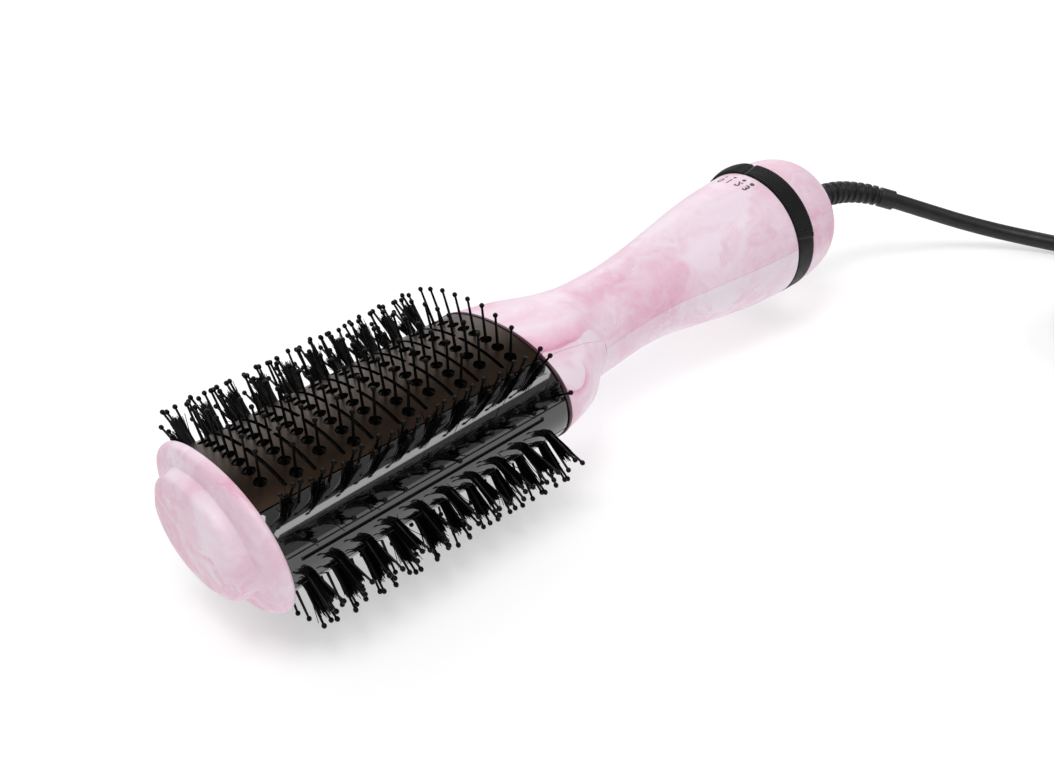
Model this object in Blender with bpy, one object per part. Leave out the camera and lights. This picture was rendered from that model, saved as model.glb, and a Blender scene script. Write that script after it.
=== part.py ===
"""Hot air brush: an oval heated barrel with pins and bristle tufts, and a handle with a fan.

Local frame: X runs along the barrel, from the front cap (low x) to the cord (high x).
X = 0 in the "along" measurements below is the back face of the front cap's flange.
The world origin is under the middle of the object, on the surface that it lies on.
"""
import math

import bmesh
import bpy
from mathutils import Matrix, Vector

MM = 0.001
GAP = 0.3 * MM

# Driving dimensions, in metres.
BARREL_LENGTH = 126.0 * MM
BARREL_HALF_WIDTH = 43.4 * MM
BARREL_HALF_HEIGHT = 24.8 * MM
BARREL_SQUARENESS = 2.15
PLATE_THICKNESS = 1.2 * MM
PANEL_THICKNESS = 1.8 * MM
PLATE_EDGE_DEG = 61.0
PIN_LENGTH = 16.0 * MM
KNOB_DEPTH = 15.2 * MM
HANDLE_END = 275.7 * MM
HANDLE_RISE = 1.8 * MM
SHELL_THICKNESS = 2.4 * MM
RING_START = 276.0 * MM
RING_END = 287.0 * MM

# Where the frame's origin lies along the brush, and the height of the barrel's axis over the floor.
MIDDLE = 148.0 * MM
AXIS_HEIGHT = BARREL_HALF_HEIGHT + PIN_LENGTH

# Bristle stations along the barrel.
STATION_COUNT = 10
FIRST_STATION = 8.6 * MM
STATION_PITCH = 12.0 * MM
PIN_SPACING = 7.2 * MM
PIN_WIDTH = 1.4 * MM
TUFT_ANGLES_DEG = (67.0, 78.5, 101.5, 113.0)
TUFT_WIDTH = 4.6 * MM
TUFT_LENGTH = 12.5 * MM
RING_CARRIER_THICKNESS = 2.4 * MM
RING_CARRIER_WIDTH = 4.4 * MM

# The cord.
CORD_DIAMETER = 7.5 * MM
COIL_CENTRE = (211.8 * MM, -162.8 * MM)
COIL_MID_RADIUS = 38.0 * MM
COIL_HALF_WIDTH = 11.35 * MM
COIL_TWO_HIGH = 15.1 * MM
COIL_THREE_HIGH = 22.65 * MM
TIE_THICKNESS = 0.8 * MM
COIL_FOOT = TIE_THICKNESS + GAP

# Along the handle: (x, half width, half height) in millimetres.
HANDLE_PROFILE = (
    (127.7, 43.7, 24.7), (137.0, 41.4, 23.8), (145.0, 38.2, 23.0), (151.0, 33.7, 22.3),
    (157.0, 28.2, 21.6), (161.0, 24.8, 21.3), (165.2, 22.3, 21.0), (166.4, 21.8, 20.9),
    (176.0, 20.5, 20.4), (192.0, 20.0, 20.0), (207.0, 21.0, 21.0), (226.0, 24.0, 24.0),
    (246.0, 27.4, 27.4), (260.0, 29.1, 29.1), (275.7, 30.0, 30.0),
)
# Where the upper shell's edge lies: (x in millimetres, degrees from the top).
SEAM_PROFILE = (
    (127.7, 61.0), (137.0, 63.0), (151.0, 67.5), (157.0, 72.0), (161.0, 75.5),
    (165.2, 82.0), (166.4, 89.7), (275.7, 89.7),
)

# The cord's route: hand-chosen points, in metres, in world coordinates.
BOOT_ROUTE = (
    (0.1653, 0.0, 0.0426), (0.1780, 0.0, 0.0424), (0.1910, -0.0025, 0.0406),
    (0.2030, -0.0080, 0.0364), (0.2130, -0.0160, 0.0306),
)
LEAD_ROUTE = (
    (0.2133, -0.0163, 0.0304), (0.2245, -0.0255, 0.0230), (0.2355, -0.0370, 0.0156),
    (0.2448, -0.0505, 0.0098), (0.2515, -0.0655, 0.0062), (0.2555, -0.0820, 0.0044),
    (0.2572, -0.0990, 0.0040), (0.2575, -0.1160, 0.0042), (0.2574, -0.1359, 0.0048),
)
TAIL_ROUTE = (
    (0.1849, -0.2083, 0.0194), (0.1750, -0.2078, 0.0178), (0.1640, -0.2062, 0.0148),
    (0.1540, -0.2038, 0.0121), (0.1445, -0.2010, 0.0103), (0.1347, -0.1990, 0.0097),
)
PLUG_PLACE = (93.0 * MM, -199.0 * MM, 9.7 * MM)


def clear_scene():
    for old in list(bpy.data.objects):
        bpy.data.objects.remove(old, do_unlink=True)


def make_material(name, color, roughness, metallic=0.0):
    material = bpy.data.materials.new(name)
    material.use_nodes = True
    shader = material.node_tree.nodes["Principled BSDF"]
    shader.inputs["Base Color"].default_value = (*color, 1.0)
    shader.inputs["Roughness"].default_value = roughness
    shader.inputs["Metallic"].default_value = metallic
    return material


def make_materials():
    return {
        "marble": make_material("pink_marble_plastic", (0.86, 0.66, 0.74), 0.4),
        "gloss_black": make_material("gloss_black_plastic", (0.012, 0.012, 0.014), 0.12),
        "satin_black": make_material("satin_black_plastic", (0.02, 0.02, 0.022), 0.45),
        "bronze": make_material("bronze_plate", (0.12, 0.08, 0.055), 0.35, 0.8),
        "bristle": make_material("black_bristle", (0.01, 0.01, 0.01), 0.5),
        "steel": make_material("steel", (0.6, 0.6, 0.62), 0.3, 1.0),
        "mica": make_material("mica_board", (0.62, 0.55, 0.42), 0.6),
        "board": make_material("circuit_board_green", (0.03, 0.2, 0.09), 0.5),
        "copper": make_material("resistance_wire", (0.5, 0.32, 0.2), 0.35, 1.0),
        "brass": make_material("brass_blades", (0.75, 0.58, 0.25), 0.25, 1.0),
        "cord": make_material("cord_jacket", (0.03, 0.03, 0.032), 0.5),
        "foam": make_material("filter_mesh", (0.08, 0.08, 0.085), 0.9),
    }


def interpolate(table, x, column=1):
    """Linear value of a table's column at x, with both in millimetres or degrees."""
    if x <= table[0][0]:
        return table[0][column]
    for low, high in zip(table, table[1:]):
        if x <= high[0]:
            share = (x - low[0]) / (high[0] - low[0])
            return low[column] + share * (high[column] - low[column])
    return table[-1][column]


def along(x):
    """World x of a distance along the barrel from the flange's back face."""
    return x - MIDDLE


def handle_rise(x):
    """How far the handle's centre line stands over the barrel's axis."""
    share = min(max((x / MM - 168.0) / 47.0, 0.0), 1.0)
    return HANDLE_RISE * share * share * (3 - 2 * share)


def oval_radius(half_width, half_height, angle, squareness=BARREL_SQUARENESS):
    """Distance to an oval's edge. The angle is from +Z towards +Y."""
    side = abs(math.sin(angle)) / half_width
    top = abs(math.cos(angle)) / half_height
    return (side ** squareness + top ** squareness) ** (-1 / squareness)


def oval_point(x, half_width, half_height, angle, squareness=BARREL_SQUARENESS, rise=0.0):
    radius = oval_radius(half_width, half_height, angle, squareness)
    return Vector((along(x), radius * math.sin(angle), AXIS_HEIGHT + rise + radius * math.cos(angle)))


def oval_normal(half_width, half_height, angle):
    """Outward direction, square to the oval, at an angle from +Z towards +Y."""
    power = BARREL_SQUARENESS - 1
    radius = oval_radius(half_width, half_height, angle)
    y = radius * math.sin(angle)
    z = radius * math.cos(angle)
    normal_y = math.copysign((abs(y) / half_width) ** power / half_width, y)
    normal_z = math.copysign((abs(z) / half_height) ** power / half_height, z)
    return Vector((0, normal_y, normal_z)).normalized()


def object_from_bmesh(name, mesh_edit, material, smooth=True):
    bmesh.ops.recalc_face_normals(mesh_edit, faces=mesh_edit.faces)
    mesh = bpy.data.meshes.new(name)
    mesh_edit.to_mesh(mesh)
    mesh_edit.free()
    if smooth:
        mesh.shade_smooth()
        mesh.set_sharp_from_angle(angle=math.radians(40))
    piece = bpy.data.objects.new(name, mesh)
    if material is not None:
        piece.data.materials.append(material)
    bpy.context.scene.collection.objects.link(piece)
    return piece


def bridge(mesh_edit, first, second):
    """Quads between two rings of the same count."""
    count = len(first)
    for i in range(count):
        j = (i + 1) % count
        mesh_edit.faces.new((first[i], first[j], second[j], second[i]))


def loft(name, sections, material, closed=False):
    """A body through rings of points. Closed joins the last ring to the first."""
    mesh_edit = bmesh.new()
    rings = [[mesh_edit.verts.new(point) for point in section] for section in sections]
    for first, second in zip(rings, rings[1:]):
        bridge(mesh_edit, first, second)
    if closed:
        bridge(mesh_edit, rings[-1], rings[0])
    else:
        mesh_edit.faces.new(rings[0])
        mesh_edit.faces.new(rings[-1])
    return object_from_bmesh(name, mesh_edit, material)


def oval_section(x, half_width, half_height, count=28, squareness=BARREL_SQUARENESS, rise=0.0):
    """A ring of points on an oval, closer together where it curves more."""
    section = []
    for i in range(count):
        turn = 2 * math.pi * i / count
        y = math.copysign(abs(math.sin(turn)) ** (2 / squareness), math.sin(turn)) * half_width
        z = math.copysign(abs(math.cos(turn)) ** (2 / squareness), math.cos(turn)) * half_height
        section.append(Vector((along(x), y, AXIS_HEIGHT + rise + z)))
    return section


def turned(name, profile, material, count=20, rise=HANDLE_RISE, closed=False):
    """A round body on the handle's axis. The profile lists (x, radius)."""
    sections = [oval_section(x, radius, radius, count, 2.0, rise) for x, radius in profile]
    return loft(name, sections, material, closed)


def tube(name, start, end, outer, inner, material, count=20, rise=HANDLE_RISE):
    profile = ((start, outer), (end, outer), (end, inner), (start, inner))
    return turned(name, profile, material, count, rise, closed=True)


def oval_tube(name, start, end, outer, inner, material, count=28):
    """An oval tube on the barrel's axis. Outer and inner are (half width, half height)."""
    corners = ((start, outer), (end, outer), (end, inner), (start, inner))
    sections = [oval_section(x, size[0], size[1], count) for x, size in corners]
    return loft(name, sections, material, closed=True)


def shell_patch(name, outer_rows, inner_rows, material):
    """A closed shell from a grid of outer points and the matching grid of inner points."""
    mesh_edit = bmesh.new()
    outer = [[mesh_edit.verts.new(point) for point in row] for row in outer_rows]
    inner = [[mesh_edit.verts.new(point) for point in row] for row in inner_rows]
    last_row = len(outer) - 1
    last_column = len(outer[0]) - 1
    for i in range(last_row):
        for j in range(last_column):
            mesh_edit.faces.new((outer[i][j], outer[i + 1][j], outer[i + 1][j + 1], outer[i][j + 1]))
            mesh_edit.faces.new((inner[i][j], inner[i][j + 1], inner[i + 1][j + 1], inner[i + 1][j]))
        for j in (0, last_column):
            mesh_edit.faces.new((outer[i][j], inner[i][j], inner[i + 1][j], outer[i + 1][j]))
    for i in (0, last_row):
        for j in range(last_column):
            mesh_edit.faces.new((outer[i][j], outer[i][j + 1], inner[i][j + 1], inner[i][j]))
    return object_from_bmesh(name, mesh_edit, material)


def box_points(centre, half, along_direction, across_direction, out_direction):
    """The eight corners of a box with the given half sizes along three directions."""
    corners = []
    for out in (-1, 1):
        for sign_a, sign_b in ((-1, -1), (1, -1), (1, 1), (-1, 1)):
            corners.append(
                centre + along_direction * half[0] * sign_a
                + across_direction * half[1] * sign_b + out_direction * half[2] * out
            )
    return corners


def add_prism(mesh_edit, corners):
    """A closed prism from two loops of four corners."""
    verts = [mesh_edit.verts.new(corner) for corner in corners]
    bottom, top = verts[:4], verts[4:]
    bridge(mesh_edit, bottom, top)
    mesh_edit.faces.new(bottom)
    mesh_edit.faces.new(top)


def box(name, low, high, material):
    """A plain box between two corners in world coordinates."""
    centre = (Vector(low) + Vector(high)) / 2
    half = (Vector(high) - Vector(low)) / 2
    mesh_edit = bmesh.new()
    add_prism(mesh_edit, box_points(centre, half, Vector((1, 0, 0)), Vector((0, 1, 0)), Vector((0, 0, 1))))
    return object_from_bmesh(name, mesh_edit, material, smooth=False)


def use_cutter(piece, cutter, operation):
    """Add an exact boolean to a piece, and hide the other body."""
    cutter.hide_render = True
    cutter.display_type = "WIRE"
    cutter.hide_set(True)
    modifier = piece.modifiers.new("hole", "BOOLEAN")
    modifier.operation = operation
    modifier.solver = "EXACT"
    modifier.object = cutter


def station_x(index):
    return FIRST_STATION + index * STATION_PITCH


def pin_angles(index):
    """Angles of one station's upper pins. Every other station is moved by half a spacing."""
    count = 7 if index % 2 == 0 else 8
    angles = []
    for i in range(count):
        y = (i - (count - 1) / 2) * PIN_SPACING
        fall = (abs(y) / BARREL_HALF_WIDTH) ** BARREL_SQUARENESS
        z = BARREL_HALF_HEIGHT * (1 - fall) ** (1 / BARREL_SQUARENESS)
        angles.append(math.atan2(y, z))
    return angles


def surface_frame(x, angle):
    """A point on the barrel's surface, with its outward and sideways directions."""
    point = oval_point(x, BARREL_HALF_WIDTH, BARREL_HALF_HEIGHT, angle)
    outward = oval_normal(BARREL_HALF_WIDTH, BARREL_HALF_HEIGHT, angle)
    sideways = outward.cross(Vector((1, 0, 0)))
    return point, outward, sideways


def hole_cutters(name, places, half_along, half_across):
    """One hidden body of square holes through the barrel's wall."""
    mesh_edit = bmesh.new()
    for x, angle in places:
        point, outward, sideways = surface_frame(x, angle)
        half = (half_along, half_across, 5 * MM)
        add_prism(mesh_edit, box_points(point, half, Vector((1, 0, 0)), sideways, outward))
    return object_from_bmesh(name, mesh_edit, None, smooth=False)


def barrel_wall(name, low_deg, high_deg, thickness, segments, material):
    """A stretch of the barrel's wall between two angles."""
    inner_size = (BARREL_HALF_WIDTH - thickness, BARREL_HALF_HEIGHT - thickness)
    outer_rows = []
    inner_rows = []
    for x in (GAP, BARREL_LENGTH - GAP):
        outer = []
        inner = []
        for i in range(segments + 1):
            angle = math.radians(low_deg + (high_deg - low_deg) * i / segments)
            outer.append(oval_point(x, BARREL_HALF_WIDTH, BARREL_HALF_HEIGHT, angle))
            inner.append(oval_point(x, inner_size[0], inner_size[1], angle))
        outer_rows.append(outer)
        inner_rows.append(inner)
    return shell_patch(name, outer_rows, inner_rows, material)


def build_front_cap(materials):
    profile = (
        (-KNOB_DEPTH / MM, 25.2, 17.8), (-13.7, 28.0, 20.5), (-12.1, 30.1, 22.5), (-9.0, 31.7, 23.6),
        (-7.0, 33.0, 24.3), (-6.3, 36.2, 26.0), (-5.2, 42.6, 28.3), (-4.2, 45.3, 29.2), (-3.0, 46.8, 29.7),
        (-0.8, 47.4, 29.9), (0.0, 45.8, 28.5), (0.0, 38.0, 19.4), (4.4, 37.6, 19.0),
    )
    sections = [oval_section(x * MM, width * MM, height * MM) for x, width, height in profile]
    return loft("front_cap", sections, materials["marble"])


def build_plates(materials):
    """The upper and lower perforated plates, with an elongated hole for each pin."""
    places = [(station_x(i), angle) for i in range(STATION_COUNT) for angle in pin_angles(i)]
    for name, turn in (("top_plate", 0.0), ("bottom_plate", 180.0)):
        edge = PLATE_EDGE_DEG - 0.3
        plate = barrel_wall(name, turn - edge, turn + edge, PLATE_THICKNESS, 10, materials["bronze"])
        turned_places = [(x, angle + math.radians(turn)) for x, angle in places]
        cutter = hole_cutters(name + "_holes", turned_places, 1.3 * MM, 1.9 * MM)
        use_cutter(plate, cutter, "DIFFERENCE")


def build_side_panels(materials):
    """The gloss panels on the barrel's narrow sides, with a hole for each tuft."""
    for name, side in (("side_panel_near", -1), ("side_panel_far", 1)):
        low = PLATE_EDGE_DEG + 0.3
        high = 180 - PLATE_EDGE_DEG - 0.3
        panel = barrel_wall(name, side * low, side * high, PANEL_THICKNESS, 6, materials["gloss_black"])
        places = []
        for i in range(STATION_COUNT):
            for angle in TUFT_ANGLES_DEG:
                places.append((station_x(i), math.radians(side * angle)))
        half = TUFT_WIDTH / 2 + 0.4 * MM
        use_cutter(panel, hole_cutters(name + "_holes", places, half, half), "DIFFERENCE")


def add_pin(mesh_edit, x, angle):
    point, outward, sideways = surface_frame(x, angle)
    half = (PIN_WIDTH / 2, PIN_WIDTH / 2, (PIN_LENGTH + 3.4 * MM) / 2)
    centre = point + outward * (PIN_LENGTH - half[2])
    add_prism(mesh_edit, box_points(centre, half, Vector((1, 0, 0)), sideways, outward))


def add_tuft(mesh_edit, x, angle):
    """A bundle of bristles as one plain prism, with its stem through the panel."""
    point, outward, sideways = surface_frame(x, angle)
    base = box_points(point, (TUFT_WIDTH / 2, TUFT_WIDTH / 2, 0), Vector((1, 0, 0)), sideways, outward)[:4]
    root = [corner - outward * 3.6 * MM for corner in base]
    tip = [corner + outward * TUFT_LENGTH for corner in base]
    add_prism(mesh_edit, root + tip)


def build_bristle_rings(materials):
    """One closed carrier ring at each station, with its pins and tufts standing out of it."""
    depth = 2.2 * MM
    outer = (BARREL_HALF_WIDTH - depth, BARREL_HALF_HEIGHT - depth)
    inner = (outer[0] - RING_CARRIER_THICKNESS, outer[1] - RING_CARRIER_THICKNESS)
    for i in range(STATION_COUNT):
        x = station_x(i)
        half = RING_CARRIER_WIDTH / 2
        name = f"bristle_ring_{i + 1:02d}"
        ring = oval_tube(name, x - half, x + half, outer, inner, materials["bristle"], count=20)
        mesh_edit = bmesh.new()
        for turn in (0.0, math.pi):
            for angle in pin_angles(i):
                add_pin(mesh_edit, x, angle + turn)
        for side in (-1, 1):
            for angle in TUFT_ANGLES_DEG:
                add_tuft(mesh_edit, x, math.radians(side * angle))
        use_cutter(ring, object_from_bmesh(name + "_bristles", mesh_edit, None, smooth=False), "UNION")


def build_barrel_inside(materials):
    steel = materials["steel"]
    oval_tube("air_duct", 5.2 * MM, 124.0 * MM, (30 * MM, 13 * MM), (29 * MM, 12 * MM), steel, 16)
    turned("tie_rod", ((4.8 * MM, 2 * MM), (125.0 * MM, 2 * MM)), steel, 10, rise=0.0)
    oval_tube("barrel_seal", 126.1 * MM, 127.4 * MM, (43.9 * MM, 25.2 * MM), (34 * MM, 16 * MM),
              materials["satin_black"])


def seam_deg(x):
    return interpolate(SEAM_PROFILE, x / MM)


def handle_rows(low, high, start, end, segments):
    """Outer and inner points of the handle's wall between two angle functions."""
    outer_rows = []
    inner_rows = []
    stations = [row[0] * MM for row in HANDLE_PROFILE if start <= row[0] * MM <= end]
    for x in stations:
        width = interpolate(HANDLE_PROFILE, x / MM, 1) * MM
        height = interpolate(HANDLE_PROFILE, x / MM, 2) * MM
        outer = []
        inner = []
        for i in range(segments + 1):
            angle = math.radians(low(x) + (high(x) - low(x)) * i / segments)
            rise = handle_rise(x)
            outer.append(oval_point(x, width, height, angle, 2.0, rise))
            inner.append(oval_point(x, width - SHELL_THICKNESS, height - SHELL_THICKNESS, angle, 2.0, rise))
        outer_rows.append(outer)
        inner_rows.append(inner)
    return outer_rows, inner_rows


def build_handle_shells(materials):
    """Upper and lower halves of the handle, and the side cheeks between them at the neck."""
    for name, turn in (("handle_shell_upper", 0.0), ("handle_shell_lower", 180.0)):
        rows = handle_rows(lambda x: turn - seam_deg(x), lambda x: turn + seam_deg(x), 0, HANDLE_END, 14)
        shell_patch(name, rows[0], rows[1], materials["marble"])
    for name, side in (("neck_cheek_near", -1), ("neck_cheek_far", 1)):
        rows = handle_rows(
            lambda x: side * (seam_deg(x) + 0.7), lambda x: side * (179.3 - seam_deg(x)), 0, 165.3 * MM, 6)
        shell_patch(name, rows[0], rows[1], materials["marble"])


def build_shell_screws(materials):
    """Two screws in the underside, each in a round hole of the lower shell."""
    shell = bpy.data.objects["handle_shell_lower"]
    for i, (x, radius) in enumerate(((188.0, 20.1), (258.0, 28.9))):
        surface = AXIS_HEIGHT + handle_rise(x * MM) - radius * MM
        place = Vector((along(x * MM), 0, surface))
        hole = bmesh.new()
        bmesh.ops.create_cone(
            hole, cap_ends=True, segments=12, radius1=3.0 * MM, radius2=3.0 * MM, depth=12 * MM,
            matrix=Matrix.Translation(place))
        use_cutter(shell, object_from_bmesh(f"screw_hole_{i + 1}", hole, None, smooth=False), "DIFFERENCE")
        screw = bmesh.new()
        bmesh.ops.create_cone(
            screw, cap_ends=True, segments=12, radius1=2.6 * MM, radius2=2.6 * MM, depth=6 * MM,
            matrix=Matrix.Translation(place + Vector((0, 0, 3.8 * MM))))
        object_from_bmesh(f"shell_screw_{i + 1}", screw, materials["steel"])


def build_heater(materials):
    """A cross of two mica boards with a wound heating wire, inside a heat shield."""
    arm = 9.0 * MM
    half_board = 0.5 * MM
    outline = (
        (-half_board, half_board), (-half_board, arm), (half_board, arm), (half_board, half_board),
        (arm, half_board), (arm, -half_board), (half_board, -half_board), (half_board, -arm),
        (-half_board, -arm), (-half_board, -half_board), (-arm, -half_board), (-arm, half_board),
    )
    start = 131.0 * MM
    end = 184.0 * MM
    sections = [[Vector((along(x), y, AXIS_HEIGHT + z)) for y, z in outline] for x in (start, end)]
    loft("heater_frame", sections, materials["mica"])
    tube("heat_shield", start, end, 14.6 * MM, 13.8 * MM, materials["steel"], 20, rise=0.0)
    turns = 6
    steps = 8
    points = []
    for i in range(turns * steps + 1):
        angle = 2 * math.pi * i / steps
        x = 134.0 * MM + 46.0 * MM * i / (turns * steps)
        points.append((along(x), 11.2 * MM * math.sin(angle), AXIS_HEIGHT + 11.2 * MM * math.cos(angle)))
    tube_curve("heater_coil", points, 1.4 * MM, materials["copper"], 0)
    box("thermostat", (along(186 * MM), -6 * MM, AXIS_HEIGHT - 4 * MM),
        (along(197 * MM), 6 * MM, AXIS_HEIGHT + 3 * MM), materials["satin_black"])


def build_fan(materials):
    """The motor on its mount, and the rotor: a shaft with an impeller of eight vanes."""
    tube("motor_mount", 222.0 * MM, 226.0 * MM, 20.2 * MM, 14.4 * MM, materials["satin_black"])
    turned("motor", ((218 * MM, 8 * MM), (222 * MM, 14 * MM), (250 * MM, 14 * MM), (253 * MM, 8 * MM)),
           materials["steel"])
    shaft = turned("motor_shaft", ((253.4 * MM, 1.2 * MM), (268.0 * MM, 1.2 * MM)), materials["steel"], 10)
    hub = turned("impeller", ((257 * MM, 2 * MM), (257 * MM, 7 * MM), (265 * MM, 5 * MM), (265 * MM, 2 * MM)),
                 materials["satin_black"], 16, closed=True)
    vanes = bmesh.new()
    centre_height = AXIS_HEIGHT + HANDLE_RISE
    for i in range(8):
        angle = 2 * math.pi * i / 8
        outward = Vector((0, math.sin(angle), math.cos(angle)))
        sideways = Vector((1, 0, 0)).cross(outward)
        forward = (Vector((1, 0, 0)) + sideways * 0.8).normalized()
        across = outward.cross(forward)
        centre = Vector((along(261 * MM), 0, centre_height)) + outward * 12.5 * MM
        add_prism(vanes, box_points(centre, (3.6 * MM, 0.5 * MM, 8 * MM), forward, across, outward))
    use_cutter(hub, object_from_bmesh("impeller_vanes", vanes, None, smooth=False), "UNION")
    for rotor in (shaft, hub):
        put_origin(rotor, (along(261 * MM), 0, centre_height))


def build_switch(materials):
    """The control ring on its sleeve, and the circuit board that it works."""
    count = 40
    rise = AXIS_HEIGHT + HANDLE_RISE

    def ring_section(x, inner):
        points = []
        for i in range(count):
            angle = 2 * math.pi * i / count
            raised = 0.6 * MM if math.cos(angle - math.radians(15)) > -0.1 else 0.0
            radius = inner if inner else 30.1 * MM + raised
            points.append(Vector((along(x), radius * math.sin(angle), rise + radius * math.cos(angle))))
        return points

    inner = 27.1 * MM
    sections = (ring_section(RING_START, None), ring_section(RING_END, None),
                ring_section(RING_END, inner), ring_section(RING_START, inner))
    ring = loft("switch_ring", sections, materials["satin_black"], closed=True)
    put_origin(ring, (along(RING_START), 0, rise))
    tube("switch_sleeve", 268.0 * MM, 283.6 * MM, 26.6 * MM, 24.2 * MM, materials["satin_black"])
    cam = tube("switch_cam", 284.0 * MM, 286.8 * MM, 26.8 * MM, 24.0 * MM, materials["satin_black"])
    put_origin(cam, (along(RING_START), 0, rise))
    box("circuit_board", (along(198 * MM), -11 * MM, AXIS_HEIGHT - 10 * MM),
        (along(216 * MM), 11 * MM, AXIS_HEIGHT - 8.4 * MM), materials["board"])
    box("switch_module", (along(271 * MM), -6 * MM, AXIS_HEIGHT - 19 * MM),
        (along(282 * MM), 6 * MM, AXIS_HEIGHT - 11 * MM), materials["satin_black"])


def put_origin(piece, place):
    """Move an object's origin without moving its shape."""
    piece.data.transform(Matrix.Translation(-Vector(place)))
    piece.location = place


def build_rear_cap(materials):
    """The rounded rear cap, its air intake grille with the filter, all on the handle's axis."""
    profile = (
        (287.3, 29.7), (292.0, 29.5), (297.0, 28.8), (302.0, 27.4), (306.5, 25.0), (310.0, 21.8),
        (312.2, 19.2), (313.0, 17.2), (313.0, 15.3), (310.8, 15.3), (310.8, 17.6), (303.0, 24.2),
        (287.3, 27.2),
    )
    profile_m = [(x * MM, radius * MM) for x, radius in profile]
    turned("rear_cap", profile_m, materials["marble"], 28, closed=True)
    grille = tube("intake_grille", 310.9 * MM, 312.6 * MM, 15.0 * MM, 7.0 * MM, materials["satin_black"])
    slots = bmesh.new()
    for i in range(12):
        angle = 2 * math.pi * (i + 0.5) / 12
        outward = Vector((0, math.sin(angle), math.cos(angle)))
        centre = Vector((along(311.7 * MM), 0, AXIS_HEIGHT + HANDLE_RISE)) + outward * 11.2 * MM
        sideways = Vector((1, 0, 0)).cross(outward)
        half = (3 * MM, 0.9 * MM, 2.6 * MM)
        add_prism(slots, box_points(centre, half, Vector((1, 0, 0)), sideways, outward))
    use_cutter(grille, object_from_bmesh("grille_slots", slots, None, smooth=False), "DIFFERENCE")
    tube("intake_filter", 307.0 * MM, 308.4 * MM, 19.0 * MM, 7.4 * MM, materials["foam"])
    tube("cord_bush", 305.0 * MM, 312.8 * MM, 6.6 * MM, 4.2 * MM, materials["satin_black"])


def smooth_route(points, step):
    """Evenly spaced points on a smooth curve through a route's own points."""
    knots = [Vector(point) for point in points]
    padded = [2 * knots[0] - knots[1], *knots, 2 * knots[-1] - knots[-2]]
    fine = []
    for p0, p1, p2, p3 in zip(padded, padded[1:], padded[2:], padded[3:]):
        for i in range(20):
            t = i / 20
            fine.append(0.5 * (2 * p1 + (p2 - p0) * t + (2 * p0 - 5 * p1 + 4 * p2 - p3) * t * t
                               + (3 * p1 - p0 - 3 * p2 + p3) * t * t * t))
    fine.append(knots[-1])
    lengths = [0.0]
    for first, second in zip(fine, fine[1:]):
        lengths.append(lengths[-1] + (second - first).length)
    count = max(2, round(lengths[-1] / step))
    result = []
    index = 0
    for i in range(count + 1):
        target = lengths[-1] * i / count
        while index < len(fine) - 2 and lengths[index + 1] < target:
            index += 1
        share = (target - lengths[index]) / (lengths[index + 1] - lengths[index])
        result.append(fine[index].lerp(fine[index + 1], share))
    return result


def tube_curve(name, points, diameter, material, resolution):
    """A round tube along points, as a curve with a bevel and filled ends."""
    curve = bpy.data.curves.new(name, "CURVE")
    curve.dimensions = "3D"
    curve.bevel_depth = diameter / 2
    curve.bevel_resolution = resolution
    curve.use_fill_caps = True
    spline = curve.splines.new("POLY")
    spline.points.add(len(points) - 1)
    for target, point in zip(spline.points, points):
        target.co = (*point, 1.0)
    piece = bpy.data.objects.new(name, curve)
    piece.data.materials.append(material)
    bpy.context.scene.collection.objects.link(piece)
    return piece


def build_strain_relief(materials):
    """A tapered, flexible sleeve that bends down with the cord."""
    points = smooth_route(BOOT_ROUTE, 4.5 * MM)
    sections = []
    for i, point in enumerate(points):
        before = points[max(i - 1, 0)]
        after = points[min(i + 1, len(points) - 1)]
        direction = (after - before).normalized() if i else Vector((1, 0, 0))
        sideways = direction.cross(Vector((0, 0, 1))).normalized()
        upward = sideways.cross(direction)
        radius = (5.6 - 1.2 * i / (len(points) - 1)) * MM
        ring = []
        for j in range(12):
            angle = 2 * math.pi * j / 12
            ring.append(point + (sideways * math.cos(angle) + upward * math.sin(angle)) * radius)
        sections.append(ring)
    loft("strain_relief", sections, materials["cord"])


def build_cord(materials):
    jacket = materials["cord"]
    tube_curve("cord_lead", smooth_route(LEAD_ROUTE, 2.2 * CORD_DIAMETER), CORD_DIAMETER, jacket, 2)
    tube_curve("cord_tail", smooth_route(TAIL_ROUTE, 1.5 * CORD_DIAMETER), CORD_DIAMETER, jacket, 2)
    outline = bundle_outline(0, 0)
    sections = []
    for i in range(24):
        turn = 2 * math.pi * i / 24
        outward = Vector((math.cos(turn), math.sin(turn), 0))
        centre = Vector((*COIL_CENTRE, COIL_FOOT)) + outward * COIL_MID_RADIUS
        sections.append([centre + outward * across + Vector((0, 0, up)) for across, up in outline])
    loft("cord_coil", sections, jacket, closed=True)


def bundle_outline(margin, foot_margin):
    """The coil's section with a margin round it, as (across, up) pairs from the middle of its foot.

    Three strands lie on each other at the outside, and two elsewhere.
    """
    corner = 0.3 * CORD_DIAMETER
    width = COIL_HALF_WIDTH + margin
    foot = -foot_margin
    two_high = COIL_TWO_HIGH + margin
    three_high = COIL_THREE_HIGH + margin
    return (
        (width - corner, foot), (width, foot + corner), (width, three_high - corner),
        (width - corner, three_high), (width - 2.4 * corner, three_high),
        (corner - width, two_high), (-width, two_high - corner),
        (-width, foot + corner), (corner - width, foot),
    )


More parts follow.
